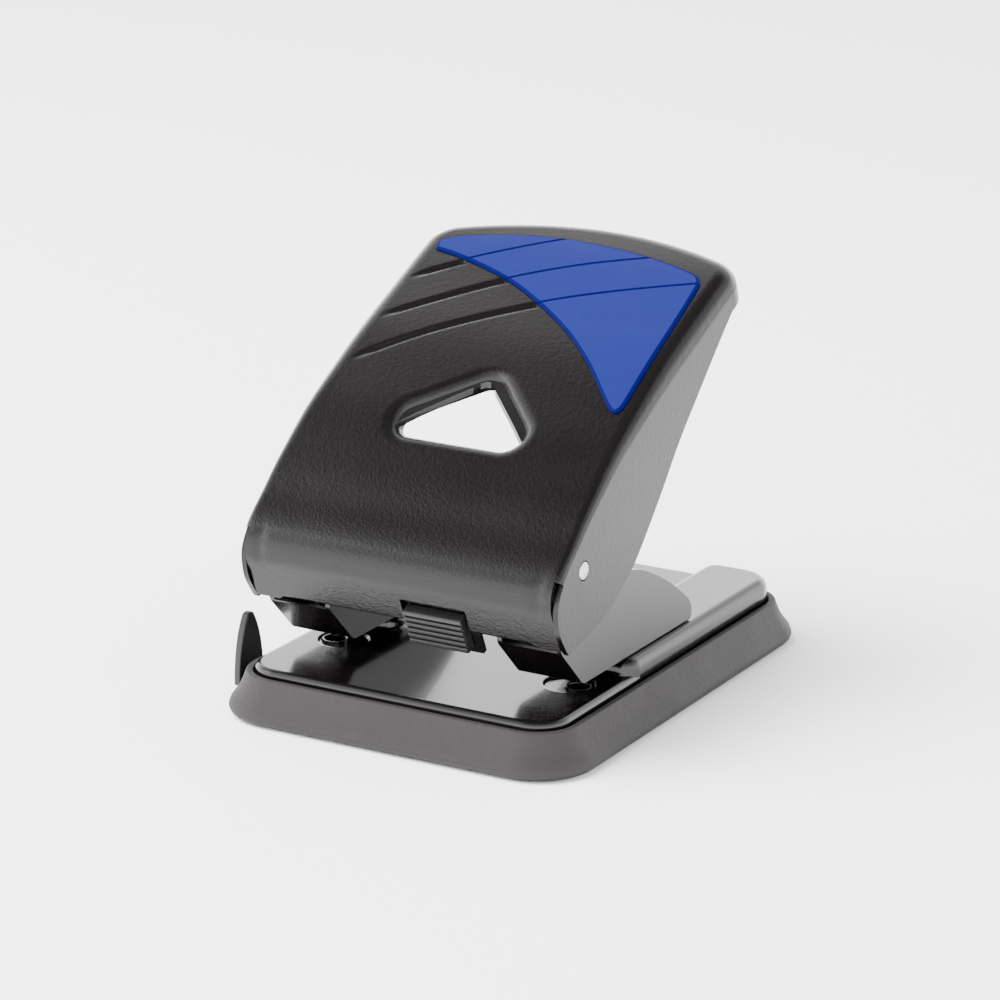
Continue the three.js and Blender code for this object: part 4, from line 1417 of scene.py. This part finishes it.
@dataclass
class Handle:
    """Pressed handle: lip, panel, turned-in opening, rolled edges and two flat sides."""

    look: Look
    profile: Profile
    half: float = 50.8
    lip_half: float = 48.9
    lip_tab: float = 8.5
    lip_arch: float = 1.2
    notch: Point = (0.1, 20.9)
    notch_top: float = 42.0
    relief_z: float = 55.3
    bend_low: float = 2.2
    bend_high: float = 5.5
    corner: float = 6.0
    corner_back: float = 19.2
    corner_turn: float = math.radians(69)
    bow: float = 0.0047
    bow_half: float = 41.45
    bow_run: float = 42.9
    wall: float = 7.2
    wall_extra: float = 2.6
    reach: float = 2.6
    grip_end: float = 48.0
    straight_share: float = 0.8
    rim_wall: float = 0.7
    lip_band: float = 4.0
    notch_pull: float = 0.366
    dimple: Point = (44.5, 51.0)
    dimple_size: Point = (1.6, 4.0)
    dimple_depth: float = 0.45
    groove_start: float = 20.0
    groove_fade: float = 7.0
    sheet: float = 1.6
    columns: int = 134
    rows: int = 220
    bend_steps: int = 7
    bore: float = 2.85
    tip: Point = (-60.6, 33.2)
    rear: tuple[Point, ...] = (
        (-41, 38.3), (-29, 45), (-21.5, 50.6), (-8.9, 64), (2.7, 77.5), (14.6, 89.3),
        (26.5, 100.8), (35, 108.6),
    )
    front: tuple[Point, ...] = ((-62.4, 35.4), (-65.7, 40.7), (-66.8, 46.7), (-65.9, 50.5))

    def __post_init__(self) -> None:
        """Works out where the handle's stretches start along the face, and their rows."""
        self.end = self.profile.along(self.grip_end) + self.reach
        self.relief = self.profile.height(self.relief_z)
        self.relief_row = round(self.rows * self.relief / self.end)
        self.mid_row = round(self.rows * self.straight_share)
        self.mid = self.end * self.straight_share
        self.side_start = self.end - self.corner_back - 1

    def _bend(self, s: float) -> float:
        """Outer radius of the bend between the panel and the sides."""
        rise = smooth_rise((s - self.relief) / (self.end - self.relief) * 1.5)
        return self.bend_low + (self.bend_high - self.bend_low) * rise

    def _side(self, share: float) -> tuple[Vector, Vector]:
        """A point on the right edge of the rounded end.

        Args:
            share: how far it is along that edge, from 0 to 1.

        Returns:
            Its flat place and its outward direction.
        """
        straight = self.end - self.corner_back - self.mid
        run = share * (straight + self.corner * self.corner_turn / 2)
        if run <= straight:
            s = self.mid + run
            return Vector((self.half - self._bend(s), s)), Vector((1, 0))
        return self._corner((run - straight) / self.corner)

    def _corner(self, turn: float) -> tuple[Vector, Vector]:
        """A point on the right corner's arc.

        Args:
            turn: its angle on the arc, in radians.

        Returns:
            Its flat place and its outward direction.
        """
        out = Vector((math.cos(turn), math.sin(turn)))
        centre = Vector((self.half - self.bend_high - self.corner, self.end - self.corner_back))
        return centre + out * self.corner, out

    def _top(self, u: float) -> tuple[Vector, Vector]:
        """A point on the bowed end.

        Args:
            u: its place across, from -1 to 1.

        Returns:
            Its flat place and its outward direction.
        """
        run = abs(u) * (self.bow_run + self.corner * self.corner_turn / 2)
        if run <= self.bow_run:
            x = run * self.bow_half / self.bow_run
            place = Vector((x, self.end - self.bend_high - self.bow * x * x))
            out = Vector((2 * self.bow * x, 1)).normalized()
        else:
            place, out = self._corner(self.corner_turn - (run - self.bow_run) / self.corner)
        if u < 0:
            place.x, out.x = -place.x, -out.x
        return place, out

    def _row(self, row: int) -> tuple[float, float]:
        """Measures a straight row.

        Args:
            row: the row's number.

        Returns:
            The row's s and its half width.
        """
        if row < self.relief_row:
            return self.relief * row / self.relief_row, self.lip_half
        share = (row - self.relief_row) / (self.mid_row - self.relief_row)
        s = self.relief + (self.mid - self.relief) * share
        return s, self.half - self._bend(s)

    def _flat(self, u: float, v: float) -> tuple[Vector, Vector]:
        """Lays a grid point on the flat handle, blending the rounded end from its four edges.

        Args:
            u: the point's place across, from -1 to 1.
            v: the point's place along, from 0 to 1.

        Returns:
            Its flat place, and the outward direction at an edge.
        """
        row = round(v * self.rows)
        if row <= self.mid_row:
            s, half = self._row(row)
            return Vector((u * half, s)), Vector((math.copysign(1, u), 0))
        share = (row - self.mid_row) / (self.rows - self.mid_row)
        side, out = self._side(share)
        left = Vector((-side.x, side.y))
        top, top_out = self._top(u)
        base = Vector((u * self._row(self.mid_row)[1], self.mid))
        right = (u + 1) / 2
        corner_low = Vector((self._row(self.mid_row)[1], self.mid))
        corner_high = self._top(1)[0]
        blend = base * (1 - share) + top * share + left * (1 - right) + side * right
        for x_sign, weight in ((-1, 1 - right), (1, right)):
            low = Vector((corner_low.x * x_sign, corner_low.y))
            high = Vector((corner_high.x * x_sign, corner_high.y))
            blend -= weight * ((1 - share) * low + share * high)
        if row == self.rows:
            return blend, top_out
        return blend, Vector((math.copysign(out.x, u), out.y))

    def _trim_lip(self, place: Vector) -> None:
        """Moves a place on to the notch's sides and the lip's arched lower edge.

        Args:
            place: the flat place, which is changed.
        """
        for edge in self.notch:
            if abs(place.x - edge) < self.notch_pull and place.y < self.relief:
                place.x = edge
        tab = self.lip_half - self.lip_tab
        arch = self.lip_arch * smooth_rise((tab + 1 - abs(place.x)) / 2)
        if place.y < self.lip_band:
            place.y = arch + place.y * (self.lip_band - arch) / self.lip_band

    def _grid(self) -> Mesh:
        """Lip and panel laid flat, with the opening cut and its rim turned in."""
        bm = bmesh.new()
        bmesh.ops.create_grid(bm, x_segments=self.columns, y_segments=self.rows, size=1.0)
        out_layer = bm.verts.layers.float_vector.new("out")
        roll_layer = bm.verts.layers.float.new("roll")
        opening = Opening(self.profile)
        notch_s = self.profile.height(self.notch_top)
        pitch = self.relief / self.relief_row
        notch_row = round(notch_s / pitch)
        for vert in bm.verts:
            u, v = vert.co.x, (vert.co.y + 1) / 2
            row = round(v * self.rows)
            place, out = self._flat(u, v)
            self._trim_lip(place)
            if row == notch_row:
                place.y = notch_s
            vert.co = (place.x, place.y, 0)
            vert[out_layer] = (out.x, out.y, 0)
            at_edge = abs(u) > 0.9999 and row >= self.relief_row or row == self.rows
            vert[roll_layer] = 1.0 if at_edge else 0.0
        inside = []
        for face in bm.faces:
            middle = face.calc_center_median()
            low, high = self.notch
            in_notch = low < middle.x < high and middle.y < notch_s
            if in_notch or opening.distance(middle.x, middle.y) < -opening.rim:
                inside.append(face)
        bmesh.ops.delete(bm, geom=inside, context="FACES")
        self._fit_opening(bm, opening)
        return bm

    def _fit_opening(self, bm: Mesh, opening: Opening) -> None:
        """Puts the opening's edge on its line, presses the details and adds the rim's wall.

        Args:
            bm: the flat sheet, with the opening roughly cut.
            opening: the opening.
        """
        hole = [edge for edge in bm.edges if edge.is_boundary
                and opening.distance(*edge.verts[0].co.xy) < 0]
        for vert in {vert for edge in hole for vert in edge.verts}:
            for _ in range(3):
                x, s = vert.co.xy
                step = -(opening.distance(x, s) + opening.rim) * opening.slope(x, s)
                vert.co.x += step.x
                vert.co.y += step.y
        self._press(bm, opening)
        made = bmesh.ops.extrude_edge_only(bm, edges=hole)["geom"]
        for item in made:
            if isinstance(item, Vert):
                item.co.z -= self.rim_wall

    def _press(self, bm: Mesh, opening: Opening) -> None:
        """Presses the opening's rim, the grooves and the lip's two dimples into the sheet.

        Args:
            bm: the flat sheet.
            opening: the opening.
        """
        grooves = Grooves(self.profile)
        runs = grooves.on_metal()
        dimple_x, dimple_s = self.dimple[0], self.profile.height(self.dimple[1])
        for vert in bm.verts:
            x, s = vert.co.xy
            depth = opening.sink(opening.distance(x, s))
            if s > self.relief + self.groove_start:
                fade = smooth_rise((self.half - self.bend_high - abs(x)) / self.groove_fade)
                depth += fade * grooves.sink(runs, x, s)
            else:
                aside = (abs(x) - dimple_x) / self.dimple_size[0]
                along = (s - dimple_s) / self.dimple_size[1]
                depth += self.dimple_depth * math.exp(-aside ** 2 - along ** 2)
            vert.co.z = -depth

    def _roll(self, bm: Mesh) -> list[Vert]:
        """Rolls the panel's edges down.

        Args:
            bm: the pressed sheet.

        Returns:
            The verts of the last loop.
        """
        out_layer = bm.verts.layers.float_vector["out"]
        roll_layer = bm.verts.layers.float["roll"]
        edges = [edge for edge in bm.edges if edge.is_boundary
                 and all(vert[roll_layer] > 0.5 for vert in edge.verts)]
        loop = []
        for step in range(1, self.bend_steps + 1):
            before = math.pi / 2 * (step - 1) / self.bend_steps
            after = math.pi / 2 * step / self.bend_steps
            made = bmesh.ops.extrude_edge_only(bm, edges=edges)["geom"]
            loop = [item for item in made if isinstance(item, Vert)]
            fresh = set(loop)
            edges = [item for item in made if isinstance(item, Edge)
                     and item.verts[0] in fresh and item.verts[1] in fresh]
            for vert in loop:
                out = vert[out_layer]
                radius = self._bend(vert.co.y) if abs(out.y) < FLAT else self.bend_high
                vert.co.xy += out.xy * radius * (math.sin(after) - math.sin(before))
                vert.co.z -= radius * (math.cos(before) - math.cos(after))
        return loop

    def _end_wall(self, bm: Mesh, loop: list[Vert]) -> None:
        """Carries the rolled end down to the wall's full depth.

        Args:
            bm: the rolled sheet.
            loop: the verts at the end of its bend.
        """
        fresh = {vert for vert in loop if vert.co.y >= self.side_start}
        edges = list({edge for vert in fresh for edge in vert.link_edges
                      if edge.is_boundary and all(end in fresh for end in edge.verts)})
        made = bmesh.ops.extrude_edge_only(bm, edges=edges)["geom"]
        for item in made:
            if isinstance(item, Vert):
                fade = smooth_rise((item.co.y - self.side_start) / self.corner_back)
                item.co.z = -self.wall - self.wall_extra * (1 - fade)

    def _chains(self, loop: Sequence[Vert]) -> dict[int, list[Vert]]:
        """Sorts out the rolled edge's verts along the two flat sides.

        Args:
            loop: the verts at the end of the bend.

        Returns:
            Each side's verts, from the front to the rounded end.
        """
        chains = {}
        for sign in SIDES.values():
            chain = [vert for vert in loop if abs(vert.co.x - sign * self.half) < FLAT]
            beyond = [vert for vert in chain if vert.co.y > self.side_start]
            chain = [vert for vert in chain if vert.co.y <= self.side_start]
            chain.sort(key=lambda vert: vert.co.y)
            chain.append(min(beyond, key=lambda vert: vert.co.y))
            chains[sign] = chain
        return chains

    def _sides(self, bm: Mesh, chains: dict[int, list[Vert]]) -> None:
        """Fills the two flat sides between the bend and their own edges, round the axle.

        Args:
            bm: the sheet, laid on its profile.
            chains: each side's verts at the end of the bend.
        """
        bore_steps = 32
        axle = Box.of("pivot_axle").centre
        for sign, chain in chains.items():
            x = sign * self.half
            last = chain[-1]
            low = min((edge.other_vert(last) for edge in last.link_edges
                       if edge.is_boundary or edge.other_vert(last).co.z < last.co.z),
                      key=lambda vert: vert.co.z)
            rear = [point for point in reversed(curve_through((self.tip, *self.rear), 6))
                    if point[0] < low.co.y - 1][:-1]
            first = (chain[0].co.y, chain[0].co.z)
            front = curve_through((self.tip, *self.front, first), 4)[:-1]
            rear_verts = [bm.verts.new((x, y, z)) for y, z in rear]
            front_verts = [bm.verts.new((x, y, z)) for y, z in front]
            ring = []
            for k in range(bore_steps):
                turn = math.pi / 2 + 2 * math.pi * k / bore_steps
                ring.append(bm.verts.new((
                    x, axle.y + self.bore * math.cos(turn), axle.z + self.bore * math.sin(turn),
                )))
            over = min(range(len(chain)), key=lambda i: abs(chain[i].co.y - axle.y))
            under = min(range(len(rear_verts)), key=lambda i: abs(rear_verts[i].co.y - axle.y))
            half_way = bore_steps // 2
            bm.faces.new(rear_verts[under:] + front_verts + chain[:over + 1]
                         + ring[:half_way + 1])
            bm.faces.new(chain[over:] + [low] + rear_verts[:under + 1] + ring[half_way:]
                         + ring[:1])

    def build(self) -> None:
        """Builds the whole pressed sheet and gives it its thickness."""
        bm = self._grid()
        loop = self._roll(bm)
        self._end_wall(bm, loop)
        chains = self._chains(loop)
        for vert in bm.verts:
            vert.co = self.profile.place(vert.co.x, vert.co.y, -vert.co.z)
        self._sides(bm, chains)
        bmesh.ops.recalc_face_normals(bm, faces=bm.faces)
        top = max(bm.faces, key=lambda face: face.calc_center_median().z)
        if top.normal.z < 0:
            bmesh.ops.reverse_faces(bm, faces=bm.faces)
        finished("handle", bm, Body.HANDLE, [self.look], ["handle_shell"],
                 Edges(smooth=50, bevel=0.3), sheet=self.sheet)


@dataclass
class GripInlay:
    """Blue inlay: a thin slab that follows the panel, with rounded edges and fine lines; its side
    walls, edge rings and lines get a darker blue as painted shade.
    """

    look: Look
    shade_look: Look
    profile: Profile
    outline: tuple[Point, ...] = (
        (-43.4, 27.6), (-44.4, 30.6), (-43, 32.6), (-37.3, 35.3), (-21, 38.8), (-5.9, 39.8),
        (10, 38.6), (25.2, 36), (38.5, 32.3), (42.6, 29.4), (43.9, 24.1), (45, 1.4),
        (45.3, -17.5), (44.6, -21.6), (42.6, -22.2), (38.6, -19.2), (27.3, -8.3), (13.9, 2.6),
        (-0.8, 12), (-14.4, 19), (-31.2, 24.8),
    )
    stand: float = 0.8
    sunk: float = 0.4
    wall_top: float = 0.25
    edge: tuple[Point, ...] = ((0.15, 0.25), (0.3, 0.2), (0.5, 0.1))
    strip: float = 2.0
    line_half: float = 0.75
    line_depth: float = 0.55
    line_clear: float = 0.3

    def _slab(self) -> Mesh:
        """The slab laid flat, with its rounded edge in the darker blue of painted shade."""
        closed = curve_through((*self.outline, self.outline[0]), 4)[:-1]
        bm = bmesh.new()
        points = [Vector((x, self.profile.along(y), 0)) for x, y in closed]
        face = add_face(bm, points, -self.sunk)
        bm.normal_update()
        if face.normal.z < 0:
            bmesh.ops.reverse_faces(bm, faces=[face])
        made = bmesh.ops.extrude_face_region(bm, geom=[face])["geom"]
        upper = [item for item in made if isinstance(item, bmesh.types.BMFace)][0]
        bmesh.ops.translate(bm, vec=(0, 0, self.sunk + self.wall_top), verts=list(upper.verts))
        for inset, rise in self.edge:
            bmesh.ops.inset_individual(bm, faces=[upper], thickness=inset, depth=0)
            bmesh.ops.translate(bm, vec=(0, 0, rise), verts=list(upper.verts))
        # Side walls and edge rings take the second material, the darker blue of painted shade.
        for side in bm.faces:
            side.material_index = 0 if side == upper else 1
        return bm

    def _in_strips(self, bm: Mesh) -> Mesh:
        """Cuts the slab across into strips, so that it can bend with the panel.

        Args:
            bm: the slab.

        Returns:
            The same slab.
        """
        low = min(vert.co.y for vert in bm.verts)
        high = max(vert.co.y for vert in bm.verts)
        s = low + self.strip
        while s < high:
            bmesh.ops.bisect_plane(
                bm, geom=list(bm.verts) + list(bm.edges) + list(bm.faces), plane_co=(0, s, 0),
                plane_no=(0, 1, 0),
            )
            s += self.strip
        bmesh.ops.recalc_face_normals(bm, faces=bm.faces)
        return bm

    def build(self) -> None:
        """Builds the slab laid flat, cuts its lines and lays it on the panel."""
        bm = self._in_strips(self._slab())
        for run in Grooves(self.profile).flat():
            bm = boolean(bm, self._line(run), Cut.AWAY)
        for vert in bm.verts:
            vert.co = self.profile.place(vert.co.x, vert.co.y, -vert.co.z)
        finished("grip_inlay_slab", bm, Body.HANDLE, [self.look, self.shade_look],
                 ["grip_inlay"], Edges(smooth=40, bevel=0))

    def _line(self, run: Sequence[Vector]) -> Mesh:
        """A V-shaped cutter whose faces give the cut line the darker blue of painted shade.

        Args:
            run: the flat points that it follows.

        Returns:
            The cutter.
        """
        top = self.stand + self.line_clear
        bm = bmesh.new()
        rings = []
        for i, here in enumerate(run):
            before, after = run[max(i - 1, 0)], run[min(i + 1, len(run) - 1)]
            way = (after - before).normalized()
            side = Vector((-way.y, way.x)) * self.line_half
            corners = [(here - side, top), (here, self.stand - self.line_depth),
                       (here + side, top)]
            rings.append([bm.verts.new((*place, z)) for place, z in corners])
        for a, b in zip(rings, rings[1:]):
            for k in range(3):
                bm.faces.new((a[k], a[(k + 1) % 3], b[(k + 1) % 3], b[k]))
        bm.faces.new(rings[0])
        bm.faces.new(rings[-1])
        # The cut line's walls take the second material, the darker blue of painted shade.
        for face in bm.faces:
            face.material_index = 1
        bmesh.ops.recalc_face_normals(bm, faces=bm.faces)
        return bm


@dataclass
class Press:
    """The rod that presses the pins, and its clips; the channel stays as packed."""

    steel: Look
    paint: Look
    chamfer: float = 0.5
    wall: float = 0.5

    def build(self) -> None:
        """Builds the rod and its clips and dresses the channel."""
        rod = Box.of("press_rod")
        x, radius = rod.high.x, rod.size.y / 2
        profile = bar_profile([
            (0, -x), (radius - self.chamfer, -x), (radius, -x + self.chamfer),
        ])
        bar = moved(turned_to_x(lathe(profile)), 0, rod.centre.y, rod.centre.z)
        finished("rod", bar, Body.HANDLE, [self.steel], ["press_rod"],
                 Edges(bevel=0.1))
        for name in SIDES:
            node = f"rod_clip_{name}"
            box = Box.of(node)
            outer = box.size.y / 2
            ring = washer(outer - self.wall, outer, box.low.x, box.high.x)
            finished(f"{node}_turned", moved(turned_to_x(ring), 0, box.centre.y, box.centre.z),
                     Body.HANDLE, [self.steel], [node], Edges(bevel=0.08))
        dress("press_channel", self.paint)


@dataclass
class Lock:
    """The ribbed slide button in the lip; its plate and carrier stay as packed."""

    look: Look
    paint: Look
    top_z: float = 39.6
    centre_x: float = 10.5
    width: float = 18.4
    length: float = 11.6
    stand: float = 2.0
    ribs: int = 6
    rib_depth: float = 0.8
    root: float = 1.6
    rib_edge: float = 0.25
    groove_edge: float = 0.1
    face_edge: float = 0.9

    def _outline(self) -> list[Corner]:
        """The button's outline from the side, with a groove between each two ribs."""
        pitch = self.length / self.ribs
        face = -self.stand
        bottom = face + self.rib_depth
        corners = [(self.root, 0, 0.0), (face, 0, self.face_edge)]
        for rib in range(1, self.ribs):
            low = -rib * pitch
            corners += [
                (face, low + 0.45 * pitch, self.rib_edge),
                (bottom, low + 0.3 * pitch, self.groove_edge),
                (bottom, low + 0.08 * pitch, self.groove_edge), (face, low, self.rib_edge),
            ]
        return corners + [(face, -self.length, self.face_edge), (self.root, -self.length, 0.0)]

    def build(self) -> None:
        """Builds the button and dresses the pieces behind the lip."""
        half = self.width / 2
        button = side_prism(self._outline(), -half, half, 4)
        lip = Vector((Profile.lip_bottom[0] - Profile.panel[0][0],
                      Profile.lip_bottom[1] - Profile.panel[0][1])).normalized()
        drop = (Profile.panel[0][1] - self.top_z) / -lip.y
        bmesh.ops.rotate(button, cent=(0, 0, 0), verts=button.verts,
                         matrix=Matrix.Rotation(math.atan2(lip.x, -lip.y), 3, "X"))
        moved(button, self.centre_x, Profile.panel[0][0] + lip.x * drop, self.top_z)
        finished("lock_slide_button", button, Body.LOCK, [self.look],
                 ["lock_button"], Edges(smooth=30, bevel=0.3, steps=3))
        dress("lock_plate", self.paint)
        dress("lock_carrier", self.paint)


# ---------------------------------------------------------------- studio

@dataclass
class Studio:
    """Pale floor, soft lights, pale room and the camera."""

    floor_look: Look
    azimuth: float = 30.04
    elevation: float = 17.4
    distance: float = 1.1395
    target: tuple[float, float, float] = (-0.000074, -0.009862, 0.05556)
    lens: float = 144.0
    sensor: float = 36.0
    floor_size: float = 6.0
    room: float = 5.2
    room_stops: tuple[Point, ...] = (
        (0, 1), (0.34, 0.9), (0.5, 0.5), (0.79, 0.34), (0.87, 0.05), (1, 0.1),
    )
    room_blue: float = 1.01

    def _floor(self) -> None:
        """Lays the floor."""
        bm = bmesh.new()
        bmesh.ops.create_grid(bm, x_segments=8, y_segments=8, size=self.floor_size)
        mesh = bpy.data.meshes.new("floor")
        bm.to_mesh(mesh)
        bm.free()
        mesh.materials.append(self.floor_look)
        floor = bpy.data.objects.new("floor", mesh)
        bpy.context.scene.collection.objects.link(floor)

    def _room(self) -> None:
        """Lights the world by the height of the direction: white low down, darker overhead."""
        world = bpy.data.worlds.new("room")
        world.use_nodes = True
        tree = world.node_tree
        place = tree.nodes.new("ShaderNodeTexCoord")
        split = tree.nodes.new("ShaderNodeSeparateXYZ")
        ramp = tree.nodes.new("ShaderNodeValToRGB")
        tree.links.new(place.outputs["Generated"], split.inputs[0])
        tree.links.new(split.outputs["Z"], ramp.inputs["Fac"])
        while len(ramp.color_ramp.elements) < len(self.room_stops):
            ramp.color_ramp.elements.new(0.5)
        for element, (at, level) in zip(ramp.color_ramp.elements, self.room_stops):
            element.position = at
            element.color = (level, level, level * self.room_blue, 1)
        tree.links.new(ramp.outputs["Color"], tree.nodes["Background"].inputs["Color"])
        tree.nodes["Background"].inputs["Strength"].default_value = self.room
        bpy.context.scene.world = world

    def _lamp(self, name: str, place: Vector, size: float, power: float, shine: bool) -> None:
        """Hangs one soft square lamp that faces the punch.

        Args:
            name: its name.
            place: where it hangs.
            size: its side, in metres.
            power: its power, in watts.
            shine: whether it shows in the gloss.
        """
        data = bpy.data.lights.new(name, "AREA")
        data.size = size
        data.energy = power
        lamp = bpy.data.objects.new(name, data)
        lamp.location = place
        lamp.rotation_mode = "QUATERNION"
        lamp.rotation_quaternion = (Vector(self.target) - place).to_track_quat("-Z", "Y")
        lamp.visible_glossy = shine
        bpy.context.scene.collection.objects.link(lamp)

    def _camera(self) -> None:
        """Sets up the camera, at its distance from the middle of the punch."""
        turn, tilt = math.radians(self.azimuth), math.radians(self.elevation)
        back = Vector((math.sin(turn) * math.cos(tilt), -math.cos(turn) * math.cos(tilt),
                       math.sin(tilt)))
        data = bpy.data.cameras.new("camera")
        data.lens = self.lens
        data.sensor_width = self.sensor
        data.clip_end = 50
        camera = bpy.data.objects.new("camera", data)
        camera.location = Vector(self.target) + back * self.distance
        camera.rotation_mode = "QUATERNION"
        camera.rotation_quaternion = (-back).to_track_quat("-Z", "Y")
        bpy.context.scene.collection.objects.link(camera)
        bpy.context.scene.camera = camera

    def build(self) -> None:
        """Sets up floor, room, lamps and camera."""
        self._floor()
        self._room()
        self._lamp("left_window", Vector((-1.5, -0.9, 1.1)), 1.0, 9.0, True)
        self._lamp("overhead", Vector((-0.9, -0.7, 1.9)), 1.6, 210.0, False)
        self._camera()


def main() -> None:
    """Builds the punch and its studio."""
    logging.basicConfig(level=logging.INFO, format="%(name)s: %(message)s")
    effects = Effects()
    paint = BASE_PAINT.build(effects)
    steel = PLATED_STEEL.build(effects)
    spring = SPRING_STEEL.build(effects)
    satin = SATIN_PLASTIC.build(effects)
    profile = Profile()
    assemblies = [
        ChipTray(TRAY_PLASTIC.build(effects)),
        PaperGuide(satin),
        BasePlate(paint),
        *(Bracket(side, name, paint) for name, side in SIDES.items()),
        *(PunchSet(side, name, steel, spring, paint) for name, side in SIDES.items()),
        Pivot(steel),
        Press(steel, paint),
        Handle(HANDLE_PAINT.build(effects), profile),
        GripInlay(BLUE_GRIP.build(effects), GRIP_SHADE_BLUE.build(effects), profile),
        Lock(satin, paint),
        Studio(FLOOR_WHITE.build(effects)),
    ]
    for assembly in assemblies:
        LOG.info("building %s", type(assembly).__name__)
        assembly.build()


if __name__ == "__main__":
    main()
